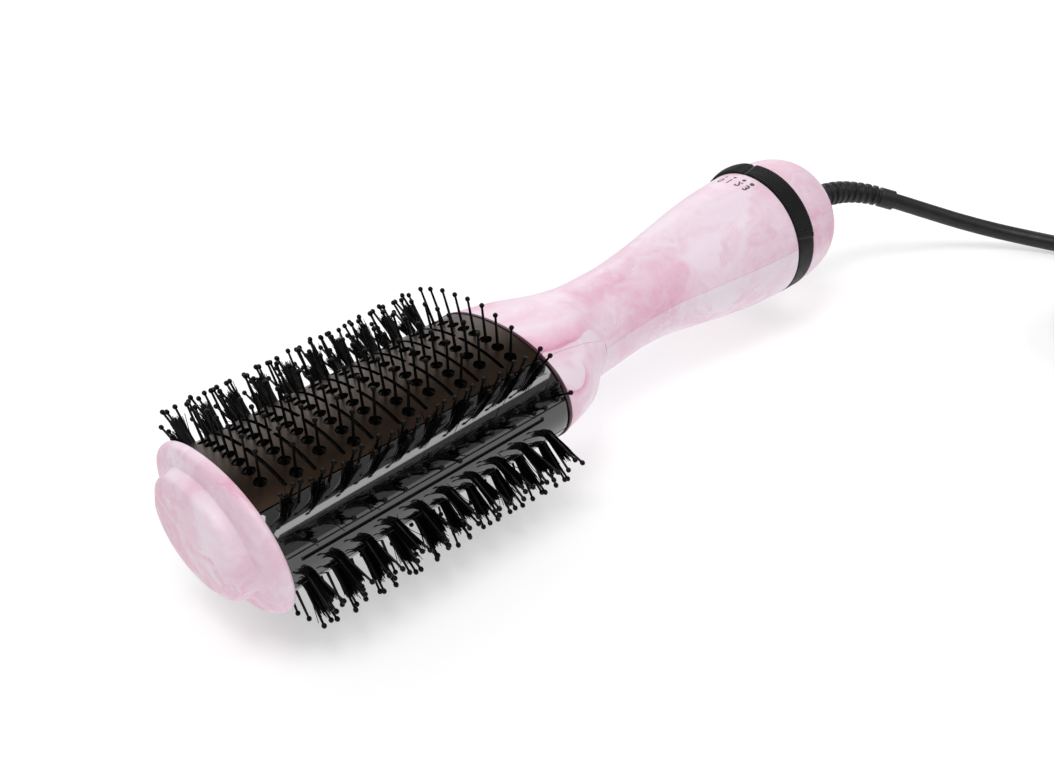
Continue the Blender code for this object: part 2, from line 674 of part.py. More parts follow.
def build_cord_tie(materials):
    """A strap round the coil's bundle, on the side away from both ends of the cord."""
    centre = Vector((COIL_CENTRE[0] - COIL_MID_RADIUS, COIL_CENTRE[1], COIL_FOOT))
    half_strap = 5.0 * MM
    inner = bundle_outline(3 * GAP, GAP)
    outer = bundle_outline(3 * GAP + TIE_THICKNESS, GAP + TIE_THICKNESS)
    sections = []
    for y, outline in ((-half_strap, outer), (half_strap, outer), (half_strap, inner), (-half_strap, inner)):
        sections.append([centre + Vector((-across, y, up)) for across, up in outline])
    loft("cord_tie", sections, materials["satin_black"], closed=True)


def build_plug(materials):
    """A plain plug with two flat blades, lying on the floor."""
    front, y, height = PLUG_PLACE
    profile = (
        (41.0, 6.0, 5.0), (33.0, 7.5, 6.5), (26.0, 12.0, 9.0), (8.0, 13.0, 9.5), (0.0, 12.0, 9.0),
    )
    sections = []
    for x, width, half_height in profile:
        ring = []
        for j in range(16):
            angle = 2 * math.pi * j / 16
            radius = oval_radius(width * MM, half_height * MM, angle, 3.0)
            place = (front + x * MM, y + radius * math.sin(angle), height + radius * math.cos(angle))
            ring.append(Vector(place))
        sections.append(ring)
    loft("plug_body", sections, materials["satin_black"])
    for name, side in (("plug_blade_left", -1), ("plug_blade_right", 1)):
        middle = y + side * 6.35 * MM
        box(name, (front - 18 * MM, middle - 0.75 * MM, height - 3.1 * MM),
            (front - GAP, middle + 0.75 * MM, height + 3.1 * MM), materials["brass"])


def main():
    clear_scene()
    materials = make_materials()
    build_front_cap(materials)
    build_plates(materials)
    build_side_panels(materials)
    build_bristle_rings(materials)
    build_barrel_inside(materials)
    build_handle_shells(materials)
    build_shell_screws(materials)
    build_heater(materials)
    build_fan(materials)
    build_switch(materials)
    build_rear_cap(materials)
    build_strain_relief(materials)
    build_cord(materials)
    build_cord_tie(materials)
    build_plug(materials)


main()
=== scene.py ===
"""The looks of the hot air brush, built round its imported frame.

Lengths called "along" are millimetres from the back face of the front cap's flange, towards the cord.
Angles round the brush are degrees from the top, towards the far side.
"""
import math
import random

import bmesh
import bpy
import numpy as np
from mathutils import Matrix, Vector
from mathutils.geometry import delaunay_2d_cdt

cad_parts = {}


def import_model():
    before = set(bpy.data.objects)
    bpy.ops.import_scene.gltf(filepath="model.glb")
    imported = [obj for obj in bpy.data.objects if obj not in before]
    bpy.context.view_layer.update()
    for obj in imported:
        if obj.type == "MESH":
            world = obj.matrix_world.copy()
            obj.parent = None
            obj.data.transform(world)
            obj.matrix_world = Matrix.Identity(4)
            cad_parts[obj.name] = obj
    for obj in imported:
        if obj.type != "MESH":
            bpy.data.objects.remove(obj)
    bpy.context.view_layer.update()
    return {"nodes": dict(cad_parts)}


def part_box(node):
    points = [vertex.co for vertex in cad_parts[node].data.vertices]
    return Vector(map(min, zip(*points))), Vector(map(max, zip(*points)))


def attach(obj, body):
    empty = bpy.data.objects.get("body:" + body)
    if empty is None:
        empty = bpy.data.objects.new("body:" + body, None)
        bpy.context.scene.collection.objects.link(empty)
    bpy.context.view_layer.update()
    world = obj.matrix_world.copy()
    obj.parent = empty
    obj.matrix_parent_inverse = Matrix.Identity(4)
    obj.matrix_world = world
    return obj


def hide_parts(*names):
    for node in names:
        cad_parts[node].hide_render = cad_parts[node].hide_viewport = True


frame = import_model()

MM = 0.001
BODY = "brush"
FLOOR_HEIGHT = -0.2 * MM

# The barrel, read from the frame. Heights and widths are in millimetres.
CAP_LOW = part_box("front_cap")[0]
REAR_LOW, REAR_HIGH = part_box("rear_cap")
PLATE_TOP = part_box("top_plate")[1].z / MM
PLATE_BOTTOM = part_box("bottom_plate")[0].z / MM
KNOB_DEPTH = 15.2
ORIGIN_X = CAP_LOW.x / MM + KNOB_DEPTH
AXIS_HEIGHT = (PLATE_TOP + PLATE_BOTTOM) / 2
HALF_HEIGHT = (PLATE_TOP - PLATE_BOTTOM) / 2
HALF_WIDTH = -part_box("side_panel_near")[0].y / MM
HANDLE_RISE = (REAR_LOW.z + REAR_HIGH.z) / 2 / MM - AXIS_HEIGHT
SQUARENESS = 2.15
BARREL_LENGTH = 126.0
PLATE_EDGE_DEG = 61.0
PLATE_THICKNESS = 1.2
PANEL_THICKNESS = 1.8

# Bristle stations.
STATION_COUNT = 10
FIRST_STATION = 8.6
STATION_PITCH = 12.0
PIN_SPACING = 7.2
PIN_LENGTH = 16.0
TUFT_ANGLES = (67.0, 78.5, 101.5, 113.0)
TUFT_LENGTH = 11.5
LONE_PIN_DEG = 65.0
TUFT_RADIUS = 1.8
TUFT_ROOT_DEPTH = 2.6
BRISTLES_PER_TUFT = 110
BRISTLE_RADIUS = 0.24
LOOSE_SHARE = 0.06
PINS_PER_TUFT = 3
BRISTLE_SEED = 41

# Openings in the plates. The slots' ends are arc lengths from the top.
HOLE_HALF_ALONG = 2.6
HOLE_HALF_ACROSS = 2.8
SLOT_HALF_WIDTH = 0.75
SLOT_ENDS = ((-28.0, -1.8), (1.8, 28.0))

# The control ring, along the handle.
RING_START = 276.0
RING_END = 286.0
RING_RADIUS = 30.1
RING_INNER_RADIUS = 27.1
RING_RIBS = 180

# The printed marks ahead of the ring, from off to the last setting, in degrees from the top.
MARK_ANGLES = (11.5, 1.5, -9.0, -18.0)
DOT_ALONG = 271.7
NUMBER_ALONG = 269.6
NUMBER_SIZE = 5.4
SCREWS_ALONG = (188.0, 258.0)

# Along the handle: (along, half width, half height).
HANDLE_PROFILE = (
    (127.7, 43.7, 24.7), (137.0, 41.4, 23.8), (145.0, 38.2, 23.0), (151.0, 33.7, 22.3),
    (157.0, 28.2, 21.6), (161.0, 24.8, 21.3), (165.2, 22.3, 21.0), (166.4, 21.8, 20.9),
    (176.0, 20.5, 20.4), (192.0, 20.0, 20.0), (207.0, 21.0, 21.0), (226.0, 24.0, 24.0),
    (246.0, 27.4, 27.4), (260.0, 29.1, 29.1), (275.7, 30.0, 30.0),
)
# The upper shell's edge ahead of the cheek's rounded corner: (along, degrees from the top).
SEAM_PROFILE = ((127.7, 61.0), (137.0, 63.0), (151.0, 67.5), (157.0, 71.5), (163.4, 76.5))
CORNER_RADIUS = 2.5
CHEEK_END = SEAM_PROFILE[-1][0] + CORNER_RADIUS
MIDDLE_SEAM = 89.93
SHELL_THICKNESS = 2.4
LIP_DEPTH = 0.9

# The cord's route in metres, in world coordinates.
CORD_DIAMETER = 7.5 * MM
BOOT_ROUTE = (
    (0.1653, 0.0, 0.0426), (0.1780, 0.0, 0.0424), (0.1910, -0.0025, 0.0406),
    (0.2030, -0.0080, 0.0364), (0.2130, -0.0160, 0.0306),
)
LEAD_ROUTE = (
    (0.2245, -0.0255, 0.0230), (0.2355, -0.0370, 0.0156),
    (0.2448, -0.0505, 0.0098), (0.2515, -0.0655, 0.0062), (0.2555, -0.0820, 0.0044),
    (0.2572, -0.0990, 0.0040), (0.2575, -0.1160, 0.0042), (0.2574, -0.1359, 0.0048),
)
TAIL_ROUTE = (
    (0.1849, -0.2083, 0.0194), (0.1750, -0.2078, 0.0178), (0.1640, -0.2062, 0.0148),
    (0.1540, -0.2038, 0.0121), (0.1445, -0.2010, 0.0103), (0.1347, -0.1990, 0.0097),
)
PLUG_PLACE = (0.0930, -0.1990, 0.0097)
COIL_CENTRE = (0.2118, -0.1628)
COIL_COLUMN_RADII = (45.6 * MM, 38.0 * MM, 30.4 * MM)
COIL_LEVELS = (4.85 * MM, 12.4 * MM, 19.95 * MM)
COIL_END_DEG = 2250
COIL_STEP_DEG = 15
TIE_THICKNESS = 0.8 * MM


# ---------------------------------------------------------------- measures

def world(along, across, up):
    """World point of a place in millimetres, with up measured from the barrel's axis."""
    return Vector(((ORIGIN_X + along) * MM, across * MM, (AXIS_HEIGHT + up) * MM))


def signed_power(value, power):
    """A power of a number that keeps its sign."""
    return math.copysign(abs(value) ** power, value)


def smooth_step(share):
    share = min(max(share, 0.0), 1.0)
    return share * share * (3 - 2 * share)


def handle_rise(along):
    """How far the handle's centre line stands over the barrel's axis."""
    return HANDLE_RISE * smooth_step((along - 168.0) / 47.0)


def smooth_value(table, x, column=1):
    """A smooth curve through one column of a table that never overshoots its points."""
    if x <= table[0][0]:
        return table[0][column]
    if x >= table[-1][0]:
        return table[-1][column]
    slopes = [(b[column] - a[column]) / (b[0] - a[0]) for a, b in zip(table, table[1:])]
    i = max(k for k in range(len(slopes)) if table[k][0] <= x)

    def tangent(k):
        if k in (0, len(slopes)):
            return slopes[min(k, len(slopes) - 1)]
        before, after = slopes[k - 1], slopes[k]
        return 2 * before * after / (before + after) if before * after > 0 else 0.0

    width = table[i + 1][0] - table[i][0]
    t = (x - table[i][0]) / width
    low, high = table[i][column], table[i + 1][column]
    return (low * (1 + 2 * t) * (1 - t) ** 2 + high * t * t * (3 - 2 * t)
            + width * t * (1 - t) * (tangent(i) * (1 - t) - tangent(i + 1) * t))


def smooth_line(knots, per_span):
    """Points on a smooth curve through the knots, which are tuples of any one length."""
    points = [np.array(knot, dtype=float) for knot in knots]
    padded = [2 * points[0] - points[1], *points, 2 * points[-1] - points[-2]]
    line = []
    for p0, p1, p2, p3 in zip(padded, padded[1:], padded[2:], padded[3:]):
        for i in range(per_span):
            t = i / per_span
            line.append(0.5 * (2 * p1 + (p2 - p0) * t + (2 * p0 - 5 * p1 + 4 * p2 - p3) * t * t
                               + (3 * p1 - p0 - 3 * p2 + p3) * t ** 3))
    line.append(points[-1])
    return line


def even_line(points, step):
    """The same line with its points evenly spaced."""
    lengths = np.cumsum([0.0] + [np.linalg.norm(b - a) for a, b in zip(points, points[1:])])
    count = max(2, round(lengths[-1] / step))
    places = np.linspace(0, lengths[-1], count + 1)
    table = np.array(points)
    columns = [np.interp(places, lengths, table[:, k]) for k in range(table.shape[1])]
    return [Vector(point) for point in zip(*columns)]


def polar_radius(half_width, half_height, degrees, squareness=SQUARENESS):
    angle = math.radians(degrees)
    side = abs(math.sin(angle)) / half_width
    top = abs(math.cos(angle)) / half_height
    return (side ** squareness + top ** squareness) ** (-1 / squareness)


def oval_place(along, half_width, half_height, degrees, squareness=SQUARENESS, rise=0.0, drop=0.0):
    """A point on an oval, or a drop under it."""
    radius = polar_radius(half_width, half_height, degrees, squareness) - drop
    angle = math.radians(degrees)
    return world(along, radius * math.sin(angle), rise + radius * math.cos(angle))


def oval_ring(along, half_width, half_height, count, squareness=SQUARENESS, rise=0.0):
    """A ring of points on an oval, closer together where it curves more."""
    ring = []
    for i in range(count):
        turn = 2 * math.pi * i / count
        y = signed_power(math.sin(turn), 2 / squareness) * half_width
        z = signed_power(math.cos(turn), 2 / squareness) * half_height
        ring.append(world(along, y, rise + z))
    return ring


def arc_table():
    """Arc length from the top round the barrel, with the angle at each step."""
    degrees = np.linspace(-180, 180, 2881)
    angle = np.radians(degrees)
    side = np.abs(np.sin(angle)) / HALF_WIDTH
    top = np.abs(np.cos(angle)) / HALF_HEIGHT
    radius = (side ** SQUARENESS + top ** SQUARENESS) ** (-1 / SQUARENESS)
    y = radius * np.sin(angle)
    z = radius * np.cos(angle)
    arcs = np.concatenate(([0.0], np.cumsum(np.hypot(np.diff(y), np.diff(z)))))
    return arcs - arcs[-1] / 2, degrees


ARC_LENGTHS, ARC_DEGREES = arc_table()


def arc_at(degrees):
    return float(np.interp(degrees, ARC_DEGREES, ARC_LENGTHS))


def degrees_at(arc):
    return float(np.interp(arc, ARC_LENGTHS, ARC_DEGREES))


def barrel_normal(degrees):
    radius = polar_radius(HALF_WIDTH, HALF_HEIGHT, degrees)
    y = radius * math.sin(math.radians(degrees))
    z = radius * math.cos(math.radians(degrees))
    normal_y = math.copysign((abs(y) / HALF_WIDTH) ** (SQUARENESS - 1) / HALF_WIDTH, y)
    normal_z = math.copysign((abs(z) / HALF_HEIGHT) ** (SQUARENESS - 1) / HALF_HEIGHT, z)
    return Vector((0, normal_y, normal_z)).normalized()


def barrel_place(along, degrees, height=0.0):
    """A point over the barrel's surface, measured square to it."""
    return oval_place(along, HALF_WIDTH, HALF_HEIGHT, degrees) + barrel_normal(degrees) * height * MM


def station_along(index):
    return FIRST_STATION + index * STATION_PITCH


def pin_degrees(index):
    """Angles of one station's pins. Every other station is moved by half a spacing."""
    count = 7 if index % 2 == 0 else 8
    angles = []
    for i in range(count):
        y = (i - (count - 1) / 2) * PIN_SPACING
        z = HALF_HEIGHT * (1 - (abs(y) / HALF_WIDTH) ** SQUARENESS) ** (1 / SQUARENESS)
        angles.append(math.degrees(math.atan2(y, z)))
    return angles


# ---------------------------------------------------------------- mesh tools

def circle(centre, side, other, radius, count):
    """Points of a circle in the plane of two directions."""
    turns = [2 * math.pi * i / count for i in range(count)]
    return [centre + (side * math.cos(turn) + other * math.sin(turn)) * radius for turn in turns]


class Parts:
    """Points and faces gathered for one mesh."""

    def __init__(self):
        self.points = []
        self.faces = []

    def add_points(self, points):
        start = len(self.points)
        self.points.extend(points)
        return list(range(start, start + len(points)))

    def bridge(self, first, second):
        """Quads between two closed rings of the same count."""
        for i in range(len(first)):
            j = (i + 1) % len(first)
            self.faces.append((first[i], first[j], second[j], second[i]))

    def loft(self, rings, closed=False):
        """A body through closed rings of points. Closed joins the last ring to the first."""
        numbered = [self.add_points(ring) for ring in rings]
        for first, second in zip(numbered, numbered[1:]):
            self.bridge(first, second)
        if closed:
            self.bridge(numbered[-1], numbered[0])
        else:
            self.faces.append(tuple(reversed(numbered[0])))
            self.faces.append(tuple(numbered[-1]))

    def turned(self, root, direction, profile, sides):
        """A round body from (distance, radius) pairs along a direction, all in millimetres."""
        side = direction.cross(Vector((1, 0, 0)))
        if side.length < 0.01:
            side = direction.cross(Vector((0, 1, 0)))
        side.normalize()
        other = direction.cross(side)
        self.loft([circle(root + direction * distance * MM, side, other, radius * MM, sides)
                   for distance, radius in profile])

    def wall(self, outer_rows, inner_rows):
        """A closed wall between a grid of outer points and the matching grid of inner points."""
        outer = [self.add_points(row) for row in outer_rows]
        inner = [self.add_points(row) for row in inner_rows]
        last_row = len(outer) - 1
        last_column = len(outer[0]) - 1
        for i in range(last_row):
            for j in range(last_column):
                self.faces.append((outer[i][j], outer[i + 1][j], outer[i + 1][j + 1], outer[i][j + 1]))
                self.faces.append((inner[i][j], inner[i][j + 1], inner[i + 1][j + 1], inner[i + 1][j]))
            self.faces.append((outer[i][0], inner[i][0], inner[i + 1][0], outer[i + 1][0]))
            self.faces.append((outer[i][-1], outer[i + 1][-1], inner[i + 1][-1], inner[i][-1]))
        for j in range(last_column):
            self.faces.append((outer[0][j], outer[0][j + 1], inner[0][j + 1], inner[0][j]))
            self.faces.append((outer[-1][j], inner[-1][j], inner[-1][j + 1], outer[-1][j + 1]))

    def make(self, name, material, body=BODY, replaces=(), sharp_deg=35):
        """The mesh object, riding on its body."""
        mesh = bpy.data.meshes.new(name)
        mesh.from_pydata([tuple(point) for point in self.points], [], self.faces)
        edit = bmesh.new()
        edit.from_mesh(mesh)
        bmesh.ops.recalc_face_normals(edit, faces=edit.faces)
        edit.to_mesh(mesh)
        edit.free()
        mesh.shade_smooth()
        mesh.set_sharp_from_angle(angle=math.radians(sharp_deg))
        return dress(add_object(name, mesh), material, body, replaces)


def add_object(name, data):
    thing = bpy.data.objects.new(name, data)
    bpy.context.scene.collection.objects.link(thing)
    return thing


def dress(piece, material, body=BODY, replaces=()):
    """Gives a piece its material and the body it rides on, and hides the nodes it stands for."""
    piece.data.materials.clear()
    piece.data.materials.append(material)
    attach(piece, body)
    if replaces:
        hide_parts(*replaces)
    return piece


def cut(piece, cutter):
    """Cuts one mesh with another, which is removed."""
    modifier = piece.modifiers.new("cut", "BOOLEAN")
    modifier.operation = "DIFFERENCE"
    modifier.solver = "EXACT"
    modifier.object = cutter
    bpy.context.view_layer.update()
    evaluated = piece.evaluated_get(bpy.context.evaluated_depsgraph_get())
    mesh = bpy.data.meshes.new_from_object(evaluated)
    piece.modifiers.clear()
    piece.data = mesh
    bpy.data.objects.remove(cutter, do_unlink=True)
    mesh.shade_smooth()
    mesh.set_sharp_from_angle(angle=math.radians(35))


# ---------------------------------------------------------------- materials

class Paint:
    """A procedural material and short calls to add and join its nodes."""

    def __init__(self, name):
        self.material = bpy.data.materials.new(name)
        self.material.use_nodes = True
        self.tree = self.material.node_tree
        self.shader = self.tree.nodes["Principled BSDF"]
        self.place = self.add("TexCoord").outputs["Object"]

    def add(self, kind, **values):
        node = self.tree.nodes.new("ShaderNode" + kind)
        for key, value in values.items():
            if key in node.inputs:
                node.inputs[key].default_value = value
            else:
                setattr(node, key, value)
        return node

    def link(self, source, target):
        self.tree.links.new(source, target)

    def noise(self, scale, detail=3.0, roughness=0.5, distortion=0.0, place=None):
        node = self.add("TexNoise", Scale=scale, Detail=detail, Roughness=roughness, Distortion=distortion)
        self.link(place or self.place, node.inputs["Vector"])
        return node.outputs["Fac"]

    def ramp(self, source, stops):
        """A colour ramp from (position, colour) pairs. A number stands for a grey."""
        node = self.add("ValToRGB")
        while len(node.color_ramp.elements) < len(stops):
            node.color_ramp.elements.new(0.5)
        for element, (position, color) in zip(node.color_ramp.elements, stops):
            element.position = position
            element.color = (*color, 1.0) if isinstance(color, tuple) else (color, color, color, 1.0)
        self.link(source, node.inputs["Fac"])
        return node.outputs["Color"]

    def mix(self, share, first, second):
        """Mixes two colours, each a socket or a tuple."""
        node = self.add("Mix", data_type="RGBA")
        for socket, value in ((node.inputs[0], share), (node.inputs[6], first), (node.inputs[7], second)):
            if isinstance(value, tuple):
                socket.default_value = (*value, 1.0)
            elif isinstance(value, float):
                socket.default_value = value
            else:
                self.link(value, socket)
        return node.outputs[2]

    def math(self, operation, first, second=None):
        node = self.add("Math", operation=operation)
        for socket, value in zip(node.inputs, (first, second)):
            if isinstance(value, float):
                socket.default_value = value
            elif value is not None:
                self.link(value, socket)
        return node.outputs["Value"]

    def finish(self, color=None, roughness=None, bump=None, bump_strength=0.1, bump_distance=0.0002, **fixed):
        """Joins the outputs to the shader, and sets what is the same all over."""
        if color is not None:
            self.link(color, self.shader.inputs["Base Color"])
        if roughness is not None:
            self.link(roughness, self.shader.inputs["Roughness"])
        if bump is not None:
            node = self.add("Bump", Strength=bump_strength, Distance=bump_distance)
            self.link(bump, node.inputs["Height"])
            self.link(node.outputs["Normal"], self.shader.inputs["Normal"])
        for key, value in fixed.items():
            self.shader.inputs[key.replace("_", " ")].default_value = value
        return self.material


def plain_paint(name, color, roughness, metallic=0.0, variation=0.2, scale=120.0, bump=0.1, grain=2500.0,
                specular=0.5):
    """One colour with gentle mottling, uneven gloss and a fine moulded or rolled grain."""
    paint = Paint(name)
    mottling = paint.noise(scale, detail=5.0, roughness=0.6)
    dark = tuple(c * (1 - variation) for c in color)
    light = tuple(min(c * (1 + variation), 1.0) for c in color)
    tone = paint.ramp(mottling, ((0.3, dark), (0.7, light)))
    gloss = paint.ramp(paint.noise(scale * 2.7, detail=4.0), (
        (0.3, max(roughness - 0.06, 0.03)), (0.7, min(roughness + 0.06, 1.0))))
    return paint.finish(tone, gloss, paint.noise(grain, detail=2.0), bump, Metallic=metallic,
                        Specular_IOR_Level=specular)


def placed_vein(paint, warp, x, height, radius, width, end, side):
    """Where one placed band shows, which draws a vein on the cheek and painted shade on the neck: outside a
    wavy circle seen from the side, and beyond the height of its end.
    """
    side_view = paint.add("Mapping", Scale=(1.0, 0.0, 1.0))
    wobble = paint.add("VectorMath", operation="MULTIPLY_ADD")
    paint.link(warp.outputs["Color"], wobble.inputs[0])
    wobble.inputs[1].default_value = (0.008, 0.0, 0.008)
    paint.link(paint.place, wobble.inputs[2])
    paint.link(wobble.outputs["Vector"], side_view.inputs["Vector"])
    distance = paint.add("VectorMath", operation="DISTANCE")
    paint.link(side_view.outputs["Vector"], distance.inputs[0])
    distance.inputs[1].default_value = (x, 0.0, height)
    share = paint.math("DIVIDE", paint.math("SUBTRACT", distance.outputs["Value"], radius), width)
    soft = paint.ramp(share, ((0.0, 0.0), (0.08, 0.95), (0.3, 0.6), (1.0, 0.0)))
    axes = paint.add("SeparateXYZ")
    paint.link(paint.place, axes.inputs["Vector"])
    beyond = paint.math("MULTIPLY", paint.math("SUBTRACT", axes.outputs["Z"], end), side / 0.006)
    return paint.math("MULTIPLY", soft, paint.ramp(beyond, ((0.0, 0.0), (1.0, 1.0))))


def marble_paint(name, tones, clouds=(0.40, 0.60), lines=()):
    """Satin plastic with soft pink clouds and wispy veins in a pale ground.

    tones are the ground, the clouds, the deeper patches and the veins. Each of lines gives one more band in
    the veins' tone, in metres: (along x, height, radius, width, height of its end, side). The cheek's band is
    a vein;
    the neck's is painted shade along the shell's dip above the cheek's seam. Side is 1 for a band over its
    end and
    -1 for one under it.
    """
    ground, pink, deep, vein = tones
    paint = Paint(name)
    warp = paint.add("TexNoise", Scale=24.0, Detail=4.0)
    paint.link(paint.place, warp.inputs["Vector"])
    shift = paint.add("VectorMath", operation="MULTIPLY_ADD")
    paint.link(warp.outputs["Color"], shift.inputs[0])
    shift.inputs[1].default_value = (0.055, 0.055, 0.055)
    paint.link(paint.place, shift.inputs[2])
    slanted = paint.add("Mapping", Rotation=(0.3, 0.7, 0.4), Scale=(0.75, 1.1, 1.2))
    paint.link(shift.outputs["Vector"], slanted.inputs["Vector"])
    place = slanted.outputs["Vector"]
    tone = paint.ramp(paint.noise(34.0, 7.0, 0.6, 0.3, place), ((clouds[0], ground), (clouds[1], pink)))
    patches = paint.ramp(paint.noise(20.0, 8.0, 0.68, 0.8, place), ((0.50, 0.0), (0.68, 0.8)))
    tone = paint.mix(patches, tone, deep)
    ridge = paint.math("ABSOLUTE", paint.math("SUBTRACT", paint.noise(15.0, 9.0, 0.72, 0.7, place), 0.5))
    wisp = paint.ramp(ridge, ((0.0, 0.75), (0.022, 0.3), (0.055, 0.0)))
    where = paint.ramp(paint.noise(16.0, 2.0), ((0.48, 0.0), (0.62, 0.8)))
    tone = paint.mix(paint.math("MULTIPLY", wisp, where), tone, vein)
    for line in lines:
        # The placed bands take the vein tone: a vein on the cheek, and painted shade on the neck.
        tone = paint.mix(placed_vein(paint, warp, *line), tone, vein)
    fibre = paint.ramp(paint.noise(300.0, 4.0, 0.65), ((0.35, 0.0), (0.75, 0.22)))
    tone = paint.mix(fibre, tone, ground)
    gloss = paint.ramp(paint.noise(60.0, 3.0), ((0.3, 0.38), (0.7, 0.48)))
    return paint.finish(tone, gloss, paint.noise(3200.0, 2.0), 0.06, Coat_Weight=0.1, Coat_Roughness=0.3)


def bronze_paint():
    """Coated sheet metal, brown with a fine metallic sparkle and a warm sheen."""
    paint = Paint("bronze_plate_coat")
    mottling = paint.noise(90.0, 5.0, 0.6)
    tone = paint.ramp(mottling, ((0.3, (0.026, 0.016, 0.0105)), (0.7, (0.045, 0.028, 0.019))))
    sparkle = paint.ramp(paint.noise(5200.0, 2.0), ((0.45, 0.34), (0.7, 0.26)))
    return paint.finish(tone, sparkle, paint.noise(4200.0, 2.0), 0.12, 0.0001, Metallic=0.95)


def gloss_paint():
    """Polished black with faint haze where it has been handled."""
    paint = Paint("polished_black")
    haze = paint.noise(45.0, 6.0, 0.65)
    tone = paint.ramp(haze, ((0.3, (0.003, 0.003, 0.004)), (0.75, (0.006, 0.006, 0.007))))
    gloss = paint.ramp(haze, ((0.35, 0.05), (0.75, 0.11)))
    return paint.finish(tone, gloss, paint.noise(30.0, 2.0), 0.02, 0.0005, IOR=1.62, Coat_Weight=0.5,
                        Coat_Roughness=0.03, Coat_IOR=1.7)


def bristle_paint():
    """Black nylon that catches a little light along each strand."""
    paint = Paint("black_nylon")
    tone = paint.ramp(paint.noise(900.0, 3.0), ((0.3, (0.001, 0.001, 0.001)), (0.75, (0.004, 0.004, 0.004))))
    gloss = paint.ramp(paint.noise(600.0, 2.0), ((0.3, 0.26), (0.7, 0.4)))
    return paint.finish(tone, gloss, paint.noise(4000.0, 2.0), 0.05, Specular_IOR_Level=0.12)


def cord_paint():
    """Rubbery jacket with a dusty bloom and a fine extruded grain."""
    paint = Paint("cord_rubber")
    tone = paint.ramp(paint.noise(160.0, 5.0, 0.6), (
        (0.3, (0.007, 0.007, 0.008)), (0.75, (0.016, 0.016, 0.018))))
    gloss = paint.ramp(paint.noise(300.0, 3.0), ((0.3, 0.34), (0.7, 0.5)))
    return paint.finish(tone, gloss, paint.noise(2600.0, 3.0), 0.2, Specular_IOR_Level=0.35)


def strap_paint():
    """Woven hook and loop tape, with a fine criss-cross weave."""
    paint = Paint("woven_strap")
    waves = []
    for direction in ("X", "Z"):
        wave = paint.add("TexWave", Scale=420.0, bands_direction=direction, Distortion=1.2, Detail=1.0)
        paint.link(paint.place, wave.inputs["Vector"])
        waves.append(wave.outputs["Fac"])
    weave = paint.math("MULTIPLY", waves[0], waves[1])
    tone = paint.ramp(weave, ((0.1, (0.012, 0.012, 0.013)), (0.8, (0.045, 0.045, 0.047))))
    gloss = paint.ramp(paint.noise(500.0, 3.0), ((0.3, 0.75), (0.7, 0.9)))
    return paint.finish(tone, gloss, weave, 0.5)


def floor_paint():
    """A white light table: it glows a little, so that shadows on it stay soft."""
    paint = Paint("pale_floor")
    tone = paint.ramp(paint.noise(3.0, 4.0), ((0.3, (0.58, 0.58, 0.58)), (0.7, (0.60, 0.60, 0.60))))
    gloss = paint.ramp(paint.noise(8.0, 3.0), ((0.3, 0.8), (0.7, 0.9)))
    return paint.finish(tone, gloss, Specular_IOR_Level=0.1, Emission_Color=(1.0, 1.0, 1.0, 1.0),
                        Emission_Strength=0.5)


# The neck's line is painted shade: a pink band on the upper shell along its dip above the cheek's seam. The
# cheek's line is a vein.
NECK_SHADE_LINE = (-0.0505, -0.136, 0.2027, 0.006, 0.0510, 1)
CHEEK_VEIN = (-0.0105, 0.0565, 0.0070, 0.0035, 0.0520, -1)


def make_paints():
    ground = (0.885, 0.742, 0.830)
    pink = (0.835, 0.565, 0.675)
    deep = (0.800, 0.425, 0.560)
    vein = (0.760, 0.270, 0.430)
    pale = ((0.860, 0.755, 0.830), (0.820, 0.660, 0.745), pink, deep)
    tones = (ground, pink, deep, vein)
    return {
        "marble": marble_paint("pink_marble", tones),
        # The upper shell's marble carries a pink band of painted shade along its dip above the cheek's seam.
        "marble_upper": marble_paint("marble_with_painted_seam_shade", tones, lines=(NECK_SHADE_LINE,)),
        "marble_cheek": marble_paint("veined_marble", tones, lines=(CHEEK_VEIN,)),
        "marble_lower": marble_paint("pale_marble", pale, (0.5, 0.7)),
        "bronze": bronze_paint(),
        "gloss": gloss_paint(),
        "bristle": bristle_paint(),
        "cord": cord_paint(),
        "strap": strap_paint(),
        "satin": plain_paint("satin_black_plastic", (0.008, 0.0075, 0.008), 0.36),
        "ring": plain_paint("ring_plastic", (0.007, 0.006, 0.0065), 0.46, specular=0.16),
        "seal": plain_paint("dark_seal", (0.045, 0.012, 0.022), 0.3, scale=200.0),
        "steel": plain_paint("bright_steel", (0.58, 0.58, 0.60), 0.3, 1.0, 0.08, 300.0),
        "duct": plain_paint("blackened_steel", (0.030, 0.029, 0.028), 0.6, 0.4, 0.2, 150.0),
        "mica": plain_paint("mica_sheet", (0.60, 0.52, 0.40), 0.6, 0.0, 0.25, 250.0, 0.3),
        "wire": plain_paint("heating_wire", (0.42, 0.33, 0.28), 0.35, 1.0, 0.15, 400.0),
        "board": plain_paint("green_board", (0.02, 0.16, 0.07), 0.4, 0.0, 0.2, 300.0),
        "filter": plain_paint("filter_mesh", (0.05, 0.05, 0.055), 0.85, 0.0, 0.3, 900.0, 0.6, 1800.0),
        "brass": plain_paint("brass_blade", (0.72, 0.56, 0.27), 0.26, 1.0, 0.08, 300.0),
        "ink": plain_paint("grey_ink", (0.070, 0.060, 0.068), 0.5, 0.0, 0.25, 700.0),
        "floor": floor_paint(),
    }


# ---------------------------------------------------------------- stage

def aim(place, target):
    return (Vector(target) - Vector(place)).to_track_quat("-Z", "Y")


